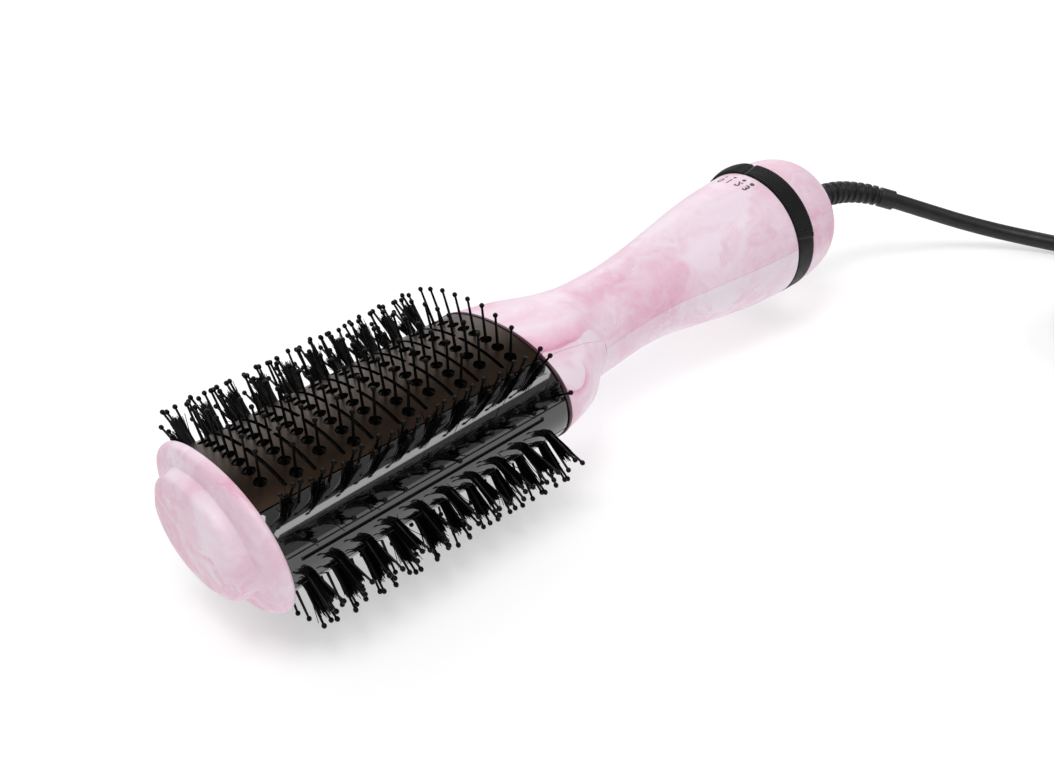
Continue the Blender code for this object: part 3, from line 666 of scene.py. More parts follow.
def make_camera():
    """A view from the left front, above, and turned a little about its own axis."""
    azimuth = math.radians(-34.2)
    elevation = math.radians(29.2)
    roll = math.radians(-10.9)
    forward = Vector((-math.sin(azimuth) * math.cos(elevation), math.cos(azimuth) * math.cos(elevation),
                      -math.sin(elevation)))
    data = bpy.data.cameras.new("camera")
    data.lens = 44.4
    data.sensor_width = 36.0
    camera = add_object("camera", data)
    turn = forward.to_track_quat("-Z", "Y").to_matrix() @ Matrix.Rotation(roll, 3, "Z")
    camera.matrix_world = Matrix.Translation((-0.2743, -0.3895, 0.2908)) @ turn.to_4x4()
    bpy.context.scene.camera = camera


def softbox(name, place, target, size, watts):
    data = bpy.data.lights.new(name, "AREA")
    data.shape = "RECTANGLE"
    data.size, data.size_y = size
    data.energy = watts
    light = add_object(name, data)
    light.matrix_world = Matrix.LocRotScale(Vector(place), aim(place, target), None)


def make_stage(paints):
    world_light = bpy.data.worlds.new("studio")
    world_light.use_nodes = True
    background = world_light.node_tree.nodes["Background"]
    background.inputs["Color"].default_value = (1.0, 1.0, 1.0, 1.0)
    background.inputs["Strength"].default_value = 0.36
    bpy.context.scene.world = world_light
    bpy.context.scene.view_settings.view_transform = "Standard"
    corners = [(x, y, FLOOR_HEIGHT) for x, y in ((-4, -4), (4, -4), (4, 4), (-4, 4))]
    mesh = bpy.data.meshes.new("floor")
    mesh.from_pydata(corners, [], [(0, 1, 2, 3)])
    mesh.materials.append(paints["floor"])
    add_object("floor", mesh)
    softbox("back_softbox", (0.9, 1.5, 0.95), (0, 0, 0), (3.0, 1.2), 15.0)
    softbox("key_softbox", (0.60, -0.78, 1.12), (0, 0, 0.05), (1.3, 0.24), 3.2)
    softbox("fill_softbox", (-0.30, -0.28, 1.45), (0, 0, 0.03), (0.8, 0.7), 10.5)


# ---------------------------------------------------------------- cord

def coil_place(degrees):
    """The coil runs clockwise, inwards along the floor, back out on top of itself, and once more above."""
    radii = COIL_COLUMN_RADII
    low, middle, high = COIL_LEVELS
    step_in = (smooth_step((degrees - 260) / 100) * (radii[1] - radii[0])
               + (1 - math.cos(math.pi / 2 * smooth_step((degrees - 620) / 100))) * (radii[2] - radii[1]))
    rise = (math.sin(math.pi / 2 * smooth_step((degrees - 980) / 100)) * (middle - low)
            + smooth_step((degrees - 1910) / 90) * (high - middle))
    step_out = (smooth_step((degrees - 1240) / 100) * (radii[1] - radii[2])
                + smooth_step((degrees - 1600) / 100) * (radii[0] - radii[1]))
    radius = radii[0] + step_in + step_out
    angle = math.radians(degrees)
    return (COIL_CENTRE[0] + radius * math.cos(angle), COIL_CENTRE[1] - radius * math.sin(angle), low + rise)


def cord_line():
    coil = [coil_place(degrees) for degrees in range(0, COIL_END_DEG + 1, COIL_STEP_DEG)]
    knots = [*BOOT_ROUTE, *LEAD_ROUTE, *coil, *TAIL_ROUTE]
    return even_line(smooth_line(knots, 8), 3 * MM)


def build_cord(paints):
    points = cord_line()
    curve = bpy.data.curves.new("cord", "CURVE")
    curve.dimensions = "3D"
    curve.bevel_depth = CORD_DIAMETER / 2
    curve.bevel_resolution = 4
    curve.use_fill_caps = True
    spline = curve.splines.new("POLY")
    spline.points.add(len(points) - 1)
    for target, point in zip(spline.points, points):
        target.co = (*point, 1.0)
    spline.use_smooth = True
    cord = add_object("cord", curve)
    dress(cord, paints["cord"], BODY, ("cord_lead", "cord_coil", "cord_tail"))
    length = sum((b - a).length for a, b in zip(points, points[1:]))
    return cord, length


# ---------------------------------------------------------------- barrel

def rounded_hole(along, arc):
    """A hole's outline on the flat layout, between an ellipse and a rhombus."""
    outline = []
    for i in range(16):
        turn = 2 * math.pi * i / 16
        outline.append((along + signed_power(math.cos(turn), 1.25) * HOLE_HALF_ALONG,
                        arc + signed_power(math.sin(turn), 1.25) * HOLE_HALF_ACROSS))
    return outline


def cross_slot(along, first_arc, last_arc):
    """A long slot's outline on the flat layout, with round ends."""
    steps = max(2, round((last_arc - first_arc) / 2.5))
    outline = []
    for side, start, end in ((-1, first_arc, last_arc), (1, last_arc, first_arc)):
        half = side * SLOT_HALF_WIDTH
        for i in range(steps + 1):
            outline.append((along + half, start + (end - start) * i / steps))
        for i in range(1, 5):
            turn = math.pi * i / 5
            outline.append((along + half * math.cos(turn), end - half * math.sin(turn)))
    return outline


def plate_openings():
    openings = []
    for index in range(STATION_COUNT):
        for degrees in pin_degrees(index):
            openings.append(rounded_hole(station_along(index), arc_at(degrees)))
        if index:
            along = station_along(index) - STATION_PITCH / 2
            openings.extend(cross_slot(along, first, last) for first, last in SLOT_ENDS)
    return openings


def inside(point, outline):
    """Whether a point lies within an outline."""
    x, y = point
    crossings = 0
    for (x0, y0), (x1, y1) in zip(outline, outline[1:] + outline[:1]):
        if (y0 > y) != (y1 > y) and x < x0 + (x1 - x0) * (y - y0) / (y1 - y0):
            crossings += 1
    return crossings % 2 == 1


def perforated_layout(half_arc, first, last, openings):
    """Points and triangles of a flat sheet with openings."""
    points = []
    edges = []

    def add_loop(outline):
        start = len(points)
        points.extend(outline)
        edges.extend((start + i, start + (i + 1) % len(outline)) for i in range(len(outline)))

    arcs = [half_arc * (2 * i / 40 - 1) for i in range(41)]
    alongs = [first + (last - first) * i / 42 for i in range(43)]
    add_loop([(x, -half_arc) for x in alongs[:-1]] + [(last, arc) for arc in arcs[:-1]]
             + [(x, half_arc) for x in reversed(alongs[1:])] + [(first, arc) for arc in reversed(arcs[1:])])
    for outline in openings:
        add_loop(outline)
    boxes = [(min(p[0] for p in o) - 0.5, max(p[0] for p in o) + 0.5,
              min(p[1] for p in o) - 0.5, max(p[1] for p in o) + 0.5) for o in openings]
    for along in alongs[1:-1]:
        for arc in arcs[1:-1]:
            if not any(a < along < b and c < arc < d for a, b, c, d in boxes):
                points.append((along, arc))
    found = delaunay_2d_cdt([Vector(point) for point in points], edges, [], 0, 1e-6)
    flat = [tuple(point) for point in found[0]]
    triangles = []
    for corners in found[2]:
        middle = (sum(flat[k][0] for k in corners) / 3, sum(flat[k][1] for k in corners) / 3)
        near = [o for o, (a, b, c, d) in zip(openings, boxes) if a < middle[0] < b and c < middle[1] < d]
        if not any(inside(middle, outline) for outline in near):
            triangles.append(tuple(corners))
    return flat, triangles


def thick_sheet(parts, flat, triangles, place, thickness):
    """A closed sheet from a flat layout. place gives the point at (along, arc, height)."""
    upper = parts.add_points([place(x, arc, 0.0) for x, arc in flat])
    lower = parts.add_points([place(x, arc, -thickness) for x, arc in flat])
    used = {}
    for a, b, c in triangles:
        parts.faces.append((upper[a], upper[b], upper[c]))
        parts.faces.append((lower[a], lower[c], lower[b]))
        for edge in ((a, b), (b, c), (c, a)):
            used[edge] = True
    for a, b in used:
        if (b, a) not in used:
            parts.faces.append((upper[b], upper[a], lower[a], lower[b]))


def build_plates(paints):
    half_arc = arc_at(PLATE_EDGE_DEG - 0.3)
    flat, triangles = perforated_layout(half_arc, 0.3, BARREL_LENGTH - 0.3, plate_openings())
    for name, turn, node in (("upper_plate", 0.0, "top_plate"), ("lower_plate", 180.0, "bottom_plate")):
        parts = Parts()

        def place(along, arc, height):
            return barrel_place(along, degrees_at(arc) + turn, height)

        thick_sheet(parts, flat, triangles, place, PLATE_THICKNESS)
        parts.make(name, paints["bronze"], replaces=(node,))


# Lines sunk into a side panel: (degrees from the top, first and last along, half width, depth, wall).
PANEL_LINES = (
    (75.6, -50.0, 200.0, 0.15, 0.35, 0.3),
    (84.6, -50.0, 200.0, 0.55, 0.55, 0.35),
    (88.6, 7.0, 113.0, 0.75, 1.1, 0.25),
    (104.4, -50.0, 200.0, 0.15, 0.35, 0.3),
)


def panel_height(along, arc, lines):
    """How far the panel's surface lies over the oval. Every line is a trench with round ends."""
    height = 0.0
    for line_arc, first, last, half, depth, wall_width in lines:
        gap = max(first - along, along - last, 0.0)
        distance = math.hypot(gap, arc - line_arc)
        height -= depth * (1 - smooth_step((distance - half) / wall_width))
    return height


def spaced(first, last, step, extra=()):
    """Even places from first to last, with extra places between them."""
    count = max(1, round((last - first) / step))
    places = {round(first + (last - first) * i / count, 4) for i in range(count + 1)}
    places.update(round(place, 4) for place in extra if first < place < last)
    ordered = sorted(places)
    kept = [ordered[0]]
    for place in ordered[1:]:
        if place - kept[-1] > 0.045:
            kept.append(place)
    return kept


def edge_drop(distance, radius):
    """How far a rounded edge lies under the surface, at a distance from the edge."""
    if distance >= radius:
        return 0.0
    short = radius - max(distance, 0.0)
    return radius - math.sqrt(max(radius * radius - short * short, 0.0))


def edge_places(first, last, radius):
    """Places close to both ends, where an edge is rounded."""
    steps = [radius * share for share in (0.08, 0.25, 0.55, 1.0)]
    return [first + step for step in steps] + [last - step for step in steps]


def build_panels(paints):
    """The gloss side panels with their sunk lines."""
    first, last = 0.3, BARREL_LENGTH - 0.3
    low = arc_at(PLATE_EDGE_DEG + 0.3)
    high = arc_at(180 - PLATE_EDGE_DEG - 0.3)
    lines = [(arc_at(degrees), *rest) for degrees, *rest in PANEL_LINES]
    radius = 0.35
    arcs = edge_places(low, high, radius)
    alongs = edge_places(first, last, radius)
    for line_arc, start, end, half, _, wall_width in lines:
        for share in (0.0, 0.25, 0.5, 0.75, 1.0):
            offset = half + wall_width * share
            arcs += [line_arc - offset, line_arc + offset]
            alongs += [start - offset, end + offset, start + half * share, end - half * share]
        arcs.append(line_arc)
    arcs = spaced(low, high, 1.0, arcs)
    alongs = spaced(first, last, 2.5, alongs)
    for name, side, node in (("near_panel", -1, "side_panel_near"), ("far_panel", 1, "side_panel_far")):
        outer_rows = []
        inner_rows = []
        for along in alongs:
            outer = []
            inner = []
            for arc in arcs:
                drop = edge_drop(min(along - first, last - along), radius)
                drop += edge_drop(min(arc - low, high - arc), radius)
                degrees = side * degrees_at(arc)
                height = panel_height(along, arc, lines) - min(drop, radius)
                outer.append(barrel_place(along, degrees, height))
                inner.append(barrel_place(along, degrees, -PANEL_THICKNESS))
            outer_rows.append(outer)
            inner_rows.append(inner)
        parts = Parts()
        parts.wall(outer_rows, inner_rows)
        parts.make(name, paints["gloss"], replaces=(node,))


def build_seal(paints):
    """The thin ring between the barrel and the neck."""
    start, end = BARREL_LENGTH + 0.1, BARREL_LENGTH + 1.4
    section = ((start, -0.3), (start + 0.25, 0.0), (end - 0.25, 0.0), (end, -0.3), (end, -9.0), (start, -9.0))
    parts = Parts()
    parts.loft([oval_ring(x, HALF_WIDTH + 0.5 + out, HALF_HEIGHT + 0.4 + out, 128) for x, out in section],
               closed=True)
    parts.make("barrel_gasket", paints["seal"], replaces=("barrel_seal",))


PIN_PROFILE = (
    (-3.4, 0.78), (0.3, 0.76), (0.8, 0.62), (6.0, 0.54), (PIN_LENGTH - 1.9, 0.46), (PIN_LENGTH - 1.75, 0.72),
    (PIN_LENGTH - 1.35, 0.96), (PIN_LENGTH - 0.9, 1.02), (PIN_LENGTH - 0.45, 0.86), (PIN_LENGTH - 0.12, 0.5),
    (PIN_LENGTH, 0.12),
)


def tilted(direction, chance, spread):
    """A direction turned a little to a random side."""
    shift = Vector((chance.uniform(-spread, spread) for _ in range(3)))
    return (direction + shift).normalized()


def add_pin(parts, root, direction, scale=1.0):
    profile = [(distance * scale if distance > 1 else distance, radius) for distance, radius in PIN_PROFILE]
    parts.turned(root, direction, profile, 8)


def add_strand(parts, root, direction, length, bend):
    """One bristle: a thin, three-sided, bent and tapered rod. Length and bend are in millimetres."""
    side = direction.cross(Vector((1, 0, 0))).normalized()
    other = direction.cross(side)
    rings = []
    for share in (0.0, 0.55, 1.0):
        centre = root + direction * (length * share * MM) + bend * (share * share * MM)
        rings.append(circle(centre, side, other, BRISTLE_RADIUS * (1 - 0.35 * share) * MM, 3))
    parts.loft(rings)


def add_tuft(parts, along, degrees, chance):
    """A dense bundle of bristles with ragged ends, and three longer ball-tipped pins through it."""
    root = barrel_place(along, degrees)
    outward = barrel_normal(degrees)
    side = Vector((1, 0, 0))
    other = outward.cross(side)
    lean = tilted(outward, chance, 0.04)
    for _ in range(BRISTLES_PER_TUFT):
        turn = chance.uniform(0, 2 * math.pi)
        reach = math.sqrt(chance.random())
        spread = side * math.cos(turn) + other * math.sin(turn)
        start = root + spread * (reach * TUFT_RADIUS * MM) - outward * TUFT_ROOT_DEPTH * MM
        loose = chance.random() < LOOSE_SHARE
        length = TUFT_LENGTH + TUFT_ROOT_DEPTH + chance.gauss(0, 0.8) - 1.2 * reach * reach
        bend = spread * (reach * (2.4 if loose else 0.5))
        bend += Vector([chance.gauss(0, 0.9 if loose else 0.3) for _ in range(3)])
        add_strand(parts, start, tilted(lean, chance, 0.02), length + (1.0 if loose else 0.0), bend)
    turn = chance.uniform(0, 2 * math.pi)
    for k in range(PINS_PER_TUFT):
        angle = turn + 2 * math.pi * (k + chance.uniform(-0.12, 0.12)) / PINS_PER_TUFT
        spread = side * math.cos(angle) + other * math.sin(angle)
        direction = tilted((lean + spread * 0.12).normalized(), chance, 0.03)
        add_pin(parts, root + spread * 1.3 * MM, direction, chance.uniform(1.0, 1.1))


def carrier_rings(along):
    """The hidden ring inside the barrel that the pins and tufts of a station stand on."""
    half = 2.2
    section = ((along - half, 2.2), (along + half, 2.2), (along + half, 4.6), (along - half, 4.6))
    return [oval_ring(x, HALF_WIDTH - depth, HALF_HEIGHT - depth, 64) for x, depth in section]


def build_bristles(paints):
    chance = random.Random(BRISTLE_SEED)
    for index in range(STATION_COUNT):
        parts = Parts()
        along = station_along(index)
        parts.loft(carrier_rings(along), closed=True)
        for turn in (0.0, 180.0):
            for degrees in pin_degrees(index):
                angle = degrees + turn
                add_pin(parts, barrel_place(along, angle), tilted(barrel_normal(angle), chance, 0.03))
        for side in (-1, 1):
            for degrees in TUFT_ANGLES:
                add_tuft(parts, along, side * degrees, chance)
            if index:
                between = barrel_place(along - STATION_PITCH / 2, side * LONE_PIN_DEG)
                add_pin(parts, between, tilted(barrel_normal(side * LONE_PIN_DEG), chance, 0.05))
        name = f"bristles_{index + 1:02d}"
        parts.make(name, paints["bristle"], replaces=(f"bristle_ring_{index + 1:02d}",))


# ---------------------------------------------------------------- caps and handle

# The front cap's outline: (along, half width, half height).
CAP_FACE = ((-15.6, 0.5, 0.3), (-15.55, 13.0, 8.6), (-15.4, 22.0, 15.2), (-15.2, 25.2, 17.8))
CAP_SIDE = (
    (-15.2, 25.2, 17.8), (-14.75, 25.8, 18.3), (-14.3, 26.7, 19.2), (-13.6, 28.0, 20.5), (-12.9, 29.3, 21.7),
    (-12.0, 30.2, 22.5), (-10.8, 30.9, 23.0), (-9.0, 31.6, 23.5), (-7.6, 32.3, 23.9), (-7.05, 32.7, 24.1),
    (-6.75, 33.4, 24.5), (-6.5, 34.9, 25.3), (-6.1, 37.4, 26.4), (-5.6, 40.4, 27.5), (-5.0, 43.2, 28.5),
    (-4.1, 45.4, 29.3), (-3.0, 46.8, 29.75), (-1.7, 47.5, 30.0), (-0.7, 47.3, 29.85), (-0.15, 46.7, 29.3),
    (0.0, 45.8, 28.5),
)
CAP_BACK = ((0.0, 45.8, 28.5), (0.0, 38.0, 19.4), (4.4, 37.6, 19.0))


def build_front_cap(paints):
    """The cool tip: an oval knob on a rounded flange."""
    outline = [*smooth_line(CAP_FACE, 3)[:-1], *smooth_line(CAP_SIDE, 4)[:-1], *CAP_BACK]
    parts = Parts()
    parts.loft([oval_ring(x, width, height, 144) for x, width, height in outline])
    parts.make("cool_tip", paints["marble"], replaces=("front_cap",),
               sharp_deg=16)


def seam_degrees(along):
    """Where the upper shell ends. It follows the cheek, turns its corner, and runs on at mid height."""
    corner_start = SEAM_PROFILE[-1][0]
    if along > CHEEK_END:
        return MIDDLE_SEAM
    if along <= corner_start:
        return smooth_value(SEAM_PROFILE, along)
    drop = edge_drop(CHEEK_END - along, CORNER_RADIUS)
    return SEAM_PROFILE[-1][1] + math.degrees(drop / smooth_value(HANDLE_PROFILE, along))


def cheek_edge(along):
    """Where a cheek ends, in degrees from its middle, a hair's breadth short of the shells."""
    return 89.9 - seam_degrees(along)


def handle_place(along, degrees, drop):
    """A point of the handle. Its section turns from the barrel's squarish oval into an ellipse."""
    width = smooth_value(HANDLE_PROFILE, along, 1)
    height = smooth_value(HANDLE_PROFILE, along, 2)
    squareness = 2.0 + 0.15 * (1 - smooth_step((along - 127.7) / 30))
    return oval_place(along, width, height, degrees, squareness, handle_rise(along), drop)


def lip_depth(along, distance, flat, slope):
    """How far the surface dips towards the cheek's seam, at a distance from it. It levels out up the neck."""
    fade = 1 - smooth_step((along - 146.0) / 14.0)
    return LIP_DEPTH * fade * (1 - smooth_step((distance - flat) / slope))


def shell_rows(alongs, turn, seam, radius, lip):
    """A wall of the handle, centred on an angle and ending at the seam on both sides, with rounded edges.

    Its columns stand at fixed angles as far as the seam lets them, so a step in the seam bends no surface.
    """
    widest = max(seam(along) for along in alongs)
    columns = spaced(-widest, widest, 1.5)[1:-1]
    fine = (1.0, 0.6, 0.3, 0.1, 0.0)
    outer_rows = []
    inner_rows = []
    for along in alongs:
        size = smooth_value(HANDLE_PROFILE, along)
        limit = seam(along)
        inset = math.degrees(radius / size)
        edge = limit - inset * 1.5
        angles = [inset * share - limit for share in reversed(fine)]
        angles += [min(max(column, -edge), edge) for column in columns]
        angles += [limit - inset * share for share in fine]
        end_drop = edge_drop(min(along - alongs[0], alongs[-1] - along), radius)
        outer = []
        inner = []
        for angle in angles:
            distance = math.radians(limit - abs(angle)) * size
            drop = min(end_drop + edge_drop(distance, radius), radius)
            outer.append(handle_place(along, turn + angle, drop + lip_depth(along, distance, *lip)))
            inner.append(handle_place(along, turn + angle, SHELL_THICKNESS))
        outer_rows.append(outer)
        inner_rows.append(inner)
    return outer_rows, inner_rows


def build_shells(paints):
    """The handle's two halves, and the cheeks between them at the neck."""
    start, end = HANDLE_PROFILE[0][0], HANDLE_PROFILE[-1][0]
    corner = [SEAM_PROFILE[-1][0] + CORNER_RADIUS * share for share in (0.0, 0.3, 0.55, 0.75, 0.9, 1.0)]
    radius = 0.12
    alongs = spaced(start, end, 1.6, edge_places(start, end, radius) + corner + [CHEEK_END + 0.06])
    for name, turn, node, paint in (
            ("upper_shell", 0.0, "handle_shell_upper", "marble_upper"),
            ("lower_shell", 180.0, "handle_shell_lower", "marble_lower")):
        parts = Parts()
        parts.wall(*shell_rows(alongs, turn, seam_degrees, radius, (2.0, 1.6)))
        parts.make(name, paints[paint], replaces=(node,))
    radius = 0.25
    cheek_end = CHEEK_END - 0.12
    alongs = spaced(start, cheek_end, 1.2, edge_places(start, cheek_end, radius) + corner)
    for name, side, node in (("near_cheek", -1, "neck_cheek_near"), ("far_cheek", 1, "neck_cheek_far")):
        parts = Parts()
        parts.wall(*shell_rows(alongs, side * 90.0, cheek_edge, radius, (0.0, 8.0)))
        parts.make(name, paints["marble_cheek"], replaces=(node,))


def build_screws(paints):
    """Two cross-head screws in the underside, each sunk in a round hole of the lower shell."""
    shell = bpy.data.objects["lower_shell"]
    down = Vector((0, 0, -1))
    for i, along in enumerate(SCREWS_ALONG):
        surface = world(along, 0, handle_rise(along) - smooth_value(HANDLE_PROFILE, along, 2))
        hole = Parts()
        hole.turned(surface, down, ((-8.0, 3.0), (0.0, 3.0), (4.0, 3.0)), 40)
        cut(shell, hole.make(f"screw_hole_{i + 1}", paints["steel"]))
        head = Parts()
        head.turned(surface, down, ((-6.8, 2.6), (-1.5, 2.6), (-1.0, 2.4), (-0.8, 1.9), (-0.75, 0.4)), 32)
        screw = head.make(f"underside_screw_{i + 1}", paints["steel"],
                          replaces=(f"shell_screw_{i + 1}",))
        for half in ((1.6, 0.3), (0.3, 1.6)):
            slot = Parts()
            corners = [surface + Vector((x * half[0] * MM, y * half[1] * MM, 0.5 * MM))
                       for x, y in ((-1, -1), (1, -1), (1, 1), (-1, 1))]
            slot.loft([corners, [corner + Vector((0, 0, 1.6 * MM)) for corner in corners]])
            cut(screw, slot.make("screw_slot", paints["steel"]))


def build_marks(paints):
    """Four position dots ahead of the control ring, growing with the setting, each with its number."""
    for number, degrees in enumerate(MARK_ANGLES):
        dot = Parts()
        root = handle_place(DOT_ALONG, degrees, 0.0)
        outward = (root - world(DOT_ALONG, 0, handle_rise(DOT_ALONG))).normalized()
        radius = 0.65 + 0.15 * number
        dot.turned(root, outward, ((-0.3, radius), (0.03, radius), (0.05, radius * 0.9)), 20)
        dot.make(f"position_dot_{number}", paints["ink"])
        curve = bpy.data.curves.new("number", "FONT")
        curve.body = str(number)
        curve.size = NUMBER_SIZE
        curve.offset = 0.17
        curve.extrude = 0.04
        curve.align_x = "CENTER"
        text = add_object("number", curve)
        bpy.context.view_layer.update()
        mesh = bpy.data.meshes.new_from_object(text.evaluated_get(bpy.context.evaluated_depsgraph_get()))
        bpy.data.objects.remove(text, do_unlink=True)
        for vertex in mesh.vertices:
            x, y, z = vertex.co
            along = NUMBER_ALONG - y
            turn = degrees - math.degrees(x / smooth_value(HANDLE_PROFILE, along))
            vertex.co = handle_place(along, turn, 0.02 - z)
        mesh.name = f"position_number_{number}"
        dress(add_object(mesh.name, mesh), paints["ink"], BODY)


def ring_radius(along, degrees):
    """The control ring's surface: a plain band, with a ribbed raised part and a thumb tab on it."""
    degrees = (degrees + 180) % 360 - 180
    share = (along - RING_START) / (RING_END - RING_START)
    raised = smooth_step((degrees + 82 + 5.0 * share) / 2.5) * smooth_step((110 - degrees) / 4)
    gap_middle = -2 + 5.5 * share
    raised *= smooth_step((abs(degrees - gap_middle) - 1.2) / 1.2)
    rib = 0.5 + 0.5 * math.cos(math.radians(degrees) * RING_RIBS)
    tab = smooth_step((degrees - 4) / 9) * smooth_step((54 - degrees) / 24)
    crown = math.sin(math.pi * min(max(share, 0), 1)) ** 0.5
    return RING_RADIUS + raised * (0.55 + 0.22 * rib) + 1.3 * tab * crown


def build_control_ring(paints):
    radius = 0.5
    alongs = spaced(RING_START, RING_END, 1.1, edge_places(RING_START, RING_END, radius))
    count = 1440
    rings = []
    for along in alongs:
        drop = edge_drop(min(along - RING_START, RING_END - along), radius)
        ring = []
        for i in range(count):
            degrees = 360 * i / count
            size = ring_radius(along, degrees) - drop
            angle = math.radians(degrees)
            ring.append(world(along, size * math.sin(angle), HANDLE_RISE + size * math.cos(angle)))
        rings.append(ring)
    for along in (RING_END, RING_START):
        rings.append([world(along, RING_INNER_RADIUS * math.sin(2 * math.pi * i / count),
                            HANDLE_RISE + RING_INNER_RADIUS * math.cos(2 * math.pi * i / count))
                      for i in range(count)])
    parts = Parts()
    parts.loft(rings, closed=True)
    parts.make("control_ring", paints["ring"], "control_ring", ("switch_ring",), sharp_deg=60)


REAR_PROFILE = (
    (286.3, 29.4), (286.5, 29.65), (287.0, 29.8), (292.0, 29.5), (297.0, 28.8), (302.0, 27.4), (306.5, 25.0),
    (310.0, 21.8), (312.2, 19.2), (312.8, 17.9), (313.0, 17.0), (312.9, 16.0), (312.5, 15.4), (311.5, 15.3),
)


def round_rings(profile, count):
    """Rings on the handle's axis from (along, radius) pairs."""
    return [oval_ring(x, radius, radius, count, 2.0, HANDLE_RISE) for x, radius in profile]


def build_rear(paints):
    """The rounded rear cap, with a grille of narrow bars round the cord's bush."""
    inner_profile = ((310.8, 15.3), (310.8, 17.6), (303.0, 24.2), (286.3, 27.2))
    parts = Parts()
    parts.loft(round_rings([*smooth_line(REAR_PROFILE, 4), *inner_profile], 120), closed=True)
    parts.make("rear_cover", paints["marble"], replaces=("rear_cap",), sharp_deg=50)
    grille = Parts()
    for outer, inner in ((15.0, 13.6), (11.4, 10.6), (8.6, 7.0)):
        section = ((310.9, outer), (312.3, outer), (312.6, outer - 0.3), (312.6, inner + 0.3), (312.3, inner),
                   (310.9, inner))
        grille.loft(round_rings(section, 72), closed=True)
    for i in range(32):
        angle = 2 * math.pi * i / 32
        outward = Vector((0, math.sin(angle), math.cos(angle)))
        across = Vector((1, 0, 0)).cross(outward)
        middle = world(311.0, 0, HANDLE_RISE)
        rings = []
        for x in (0.0, 1.2):
            corners = ((8.0, -0.35), (14.2, -0.35), (14.2, 0.35), (8.0, 0.35))
            rings.append([middle + (Vector((x, 0, 0)) + outward * r + across * w) * MM for r, w in corners])
        grille.loft(rings)
    grille.make("rear_grille", paints["satin"], replaces=("intake_grille",))


# ---------------------------------------------------------------- pieces on the cord

def sweep(route, radius_at, sides, step):
    """Rings round a smooth route. radius_at gives millimetres for a distance in millimetres."""
    line = even_line(smooth_line(route, 12), step * MM)
    rings = []
    for i, point in enumerate(line):
        direction = line[min(i + 1, len(line) - 1)] - line[max(i - 1, 0)]
        direction = direction.normalized() if i else Vector((1, 0, 0))
        side = direction.cross(Vector((0, 0, 1))).normalized()
        upward = side.cross(direction)
        radius = radius_at(i * step) * MM
        rings.append(circle(point, side, upward, radius, sides))
    return rings


def boot_radius(distance):
    """A smooth collar, then ribs, then a plain tapered end."""
    base = 6.0 - 1.3 * smooth_step(distance / 54)
    if not 7.0 < distance < 47.7:
        return base
    rib = 0.5 + 0.5 * math.cos(2 * math.pi * (distance - 7.0) / 3.7)
    return base - 1.1 * (1 - smooth_step(rib * 1.5))


def build_boot(paints):
    parts = Parts()
    parts.loft(sweep(BOOT_ROUTE, boot_radius, 32, 0.3))
    return parts.make("cord_boot", paints["cord"], replaces=("strain_relief",),
                      sharp_deg=50)


def filleted(outline, radius):
    """The outline with its corners rounded."""
    smooth = []
    count = len(outline)
    for i in range(count):
        before, corner, after = (Vector(outline[(i + k) % count]) for k in (-1, 0, 1))
        first = corner + (before - corner).normalized() * min(radius, (before - corner).length * 0.4)
        last = corner + (after - corner).normalized() * min(radius, (after - corner).length * 0.4)
        for t in (0.0, 0.25, 0.5, 0.75, 1.0):
            smooth.append(first * (1 - t) ** 2 + corner * 2 * t * (1 - t) + last * t * t)
    return smooth


def bundle_outline(margin, foot_margin):
    """The coil's section with a margin round it, as (across, up) pairs in metres from its foot."""
    corner = 0.3 * CORD_DIAMETER
    width = 11.35 * MM + margin
    foot = -foot_margin
    two_high = 15.1 * MM + margin
    three_high = 22.65 * MM + margin
    return (
        (width - corner, foot), (width, foot + corner), (width, three_high - corner),
        (width - corner, three_high), (width - 2.4 * corner, three_high),
        (corner - width, two_high), (-width, two_high - corner),
        (-width, foot + corner), (corner - width, foot),
    )


def build_tie(paints):
    """A woven strap round the coil's bundle."""
    gap = 0.3 * MM
    foot = TIE_THICKNESS + gap
    middle = Vector((COIL_CENTRE[0] - COIL_COLUMN_RADII[1], COIL_CENTRE[1], foot))
    half = 5.0 * MM
    inner = filleted(bundle_outline(3 * gap, gap), 1.5 * MM)
    outer = filleted(bundle_outline(3 * gap + TIE_THICKNESS, gap + TIE_THICKNESS), 2.0 * MM)
    soft = 0.25 * MM
    centre_up = 9.0 * MM
    rings = []
    for y, outline, inset in ((-half, outer, soft), (soft - half, outer, 0), (half - soft, outer, 0),
                              (half, outer, soft), (half, inner, 0), (-half, inner, 0)):
        ring = []
        for across, up in outline:
            pull = 1 - inset / 0.012
            ring.append(middle + Vector((-across * pull, y, centre_up + (up - centre_up) * pull)))
        rings.append(ring)
    parts = Parts()
    parts.loft(rings, closed=True)
    return parts.make("coil_strap", paints["strap"], replaces=("cord_tie",), sharp_deg=50)


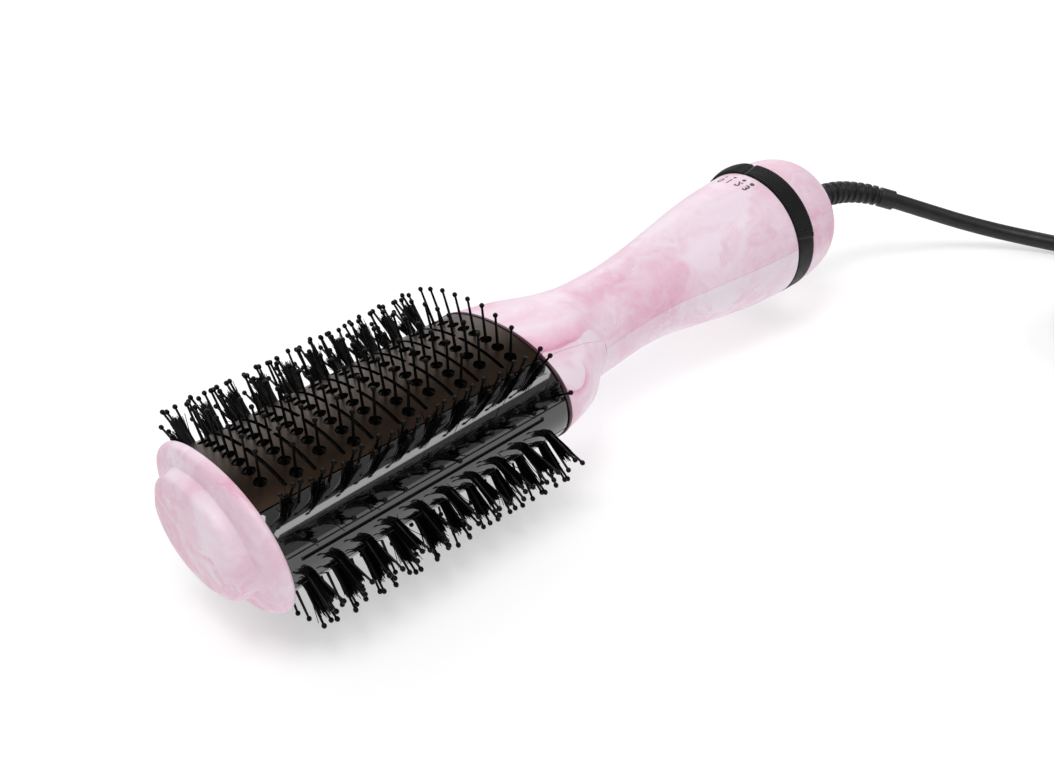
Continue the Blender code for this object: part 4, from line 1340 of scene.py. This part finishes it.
def build_plug(paints):
    """A moulded plug with finger ridges, and its two flat blades with their holes."""
    front, y, height = PLUG_PLACE
    profile = ((41.0, 4.9, 4.3), (37.0, 5.6, 4.9), (33.0, 7.3, 6.3), (29.0, 10.4, 8.2), (25.5, 12.2, 9.1),
               (16.0, 12.7, 9.4), (6.0, 13.0, 9.5), (1.2, 12.9, 9.4), (0.3, 12.5, 9.0), (0.0, 11.8, 8.4))
    parts = Parts()
    rings = []
    for x, width, half_height in smooth_line(profile, 8):
        ridge = 0.5 - 0.5 * math.cos(2 * math.pi * x / 2.6) if 7.8 < x < 20.8 else 0.0
        ring = []
        for j in range(64):
            degrees = 360 * j / 64
            radius = polar_radius(width, half_height, degrees, 3.2)
            radius -= 0.7 * ridge * abs(math.sin(math.radians(degrees))) ** 6
            angle = math.radians(degrees)
            ring.append(Vector((front + x * MM, y + radius * math.sin(angle) * MM,
                                height + radius * math.cos(angle) * MM)))
        rings.append(ring)
    parts.loft(rings)
    pieces = [parts.make("plug", paints["cord"], replaces=("plug_body",), sharp_deg=50)]
    for side_name, side in (("left", -1), ("right", 1)):
        middle = y + side * 6.35 * MM
        blade = Parts()
        sections = ((-0.3, 3.1, 0.75), (-16.6, 3.1, 0.75), (-17.6, 2.8, 0.6), (-18.0, 2.3, 0.35))
        rings = []
        for x, tall, thick in sections:
            outline = ((-thick, -tall), (thick, -tall), (thick, tall), (-thick, tall))
            rings.append([Vector((front + x * MM, middle + a * MM, height + b * MM)) for a, b in outline])
        blade.loft(rings)
        piece = blade.make(f"blade_{side_name}", paints["brass"],
                           replaces=(f"plug_blade_{side_name}",))
        hole = Parts()
        centre = Vector((front - 13.5 * MM, middle, height))
        hole.turned(centre, Vector((0, 1, 0)), ((-2.0, 1.6), (2.0, 1.6)), 24)
        cut(piece, hole.make("blade_hole", paints["brass"]))
        pieces.append(piece)
    return pieces


# ---------------------------------------------------------------- nodes that stay

KEPT_NODES = {
    "air_duct": "duct", "tie_rod": "steel", "heater_frame": "mica", "heat_shield": "duct",
    "heater_coil": "wire", "thermostat": "satin", "motor_mount": "satin", "motor": "steel",
    "motor_shaft": "steel", "impeller": "satin", "switch_sleeve": "satin", "switch_cam": "satin",
    "circuit_board": "board", "switch_module": "satin", "intake_filter": "filter", "cord_bush": "satin",
}


def paint_kept_nodes(paints):
    for node, paint in KEPT_NODES.items():
        materials = frame["nodes"][node].data.materials
        if not materials:
            materials.append(paints[paint])
        for i in range(len(materials)):
            materials[i] = paints[paint]


# ---------------------------------------------------------------- main

def main():
    paints = make_paints()
    make_camera()
    make_stage(paints)
    cord, length = build_cord(paints)
    boot = build_boot(paints)
    tie = build_tie(paints)
    plug = build_plug(paints)
    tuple(BOOT_ROUTE[0])
    build_plates(paints)
    build_panels(paints)
    build_seal(paints)
    build_bristles(paints)
    build_front_cap(paints)
    build_shells(paints)
    build_screws(paints)
    build_marks(paints)
    build_control_ring(paints)
    build_rear(paints)
    paint_kept_nodes(paints)


main()
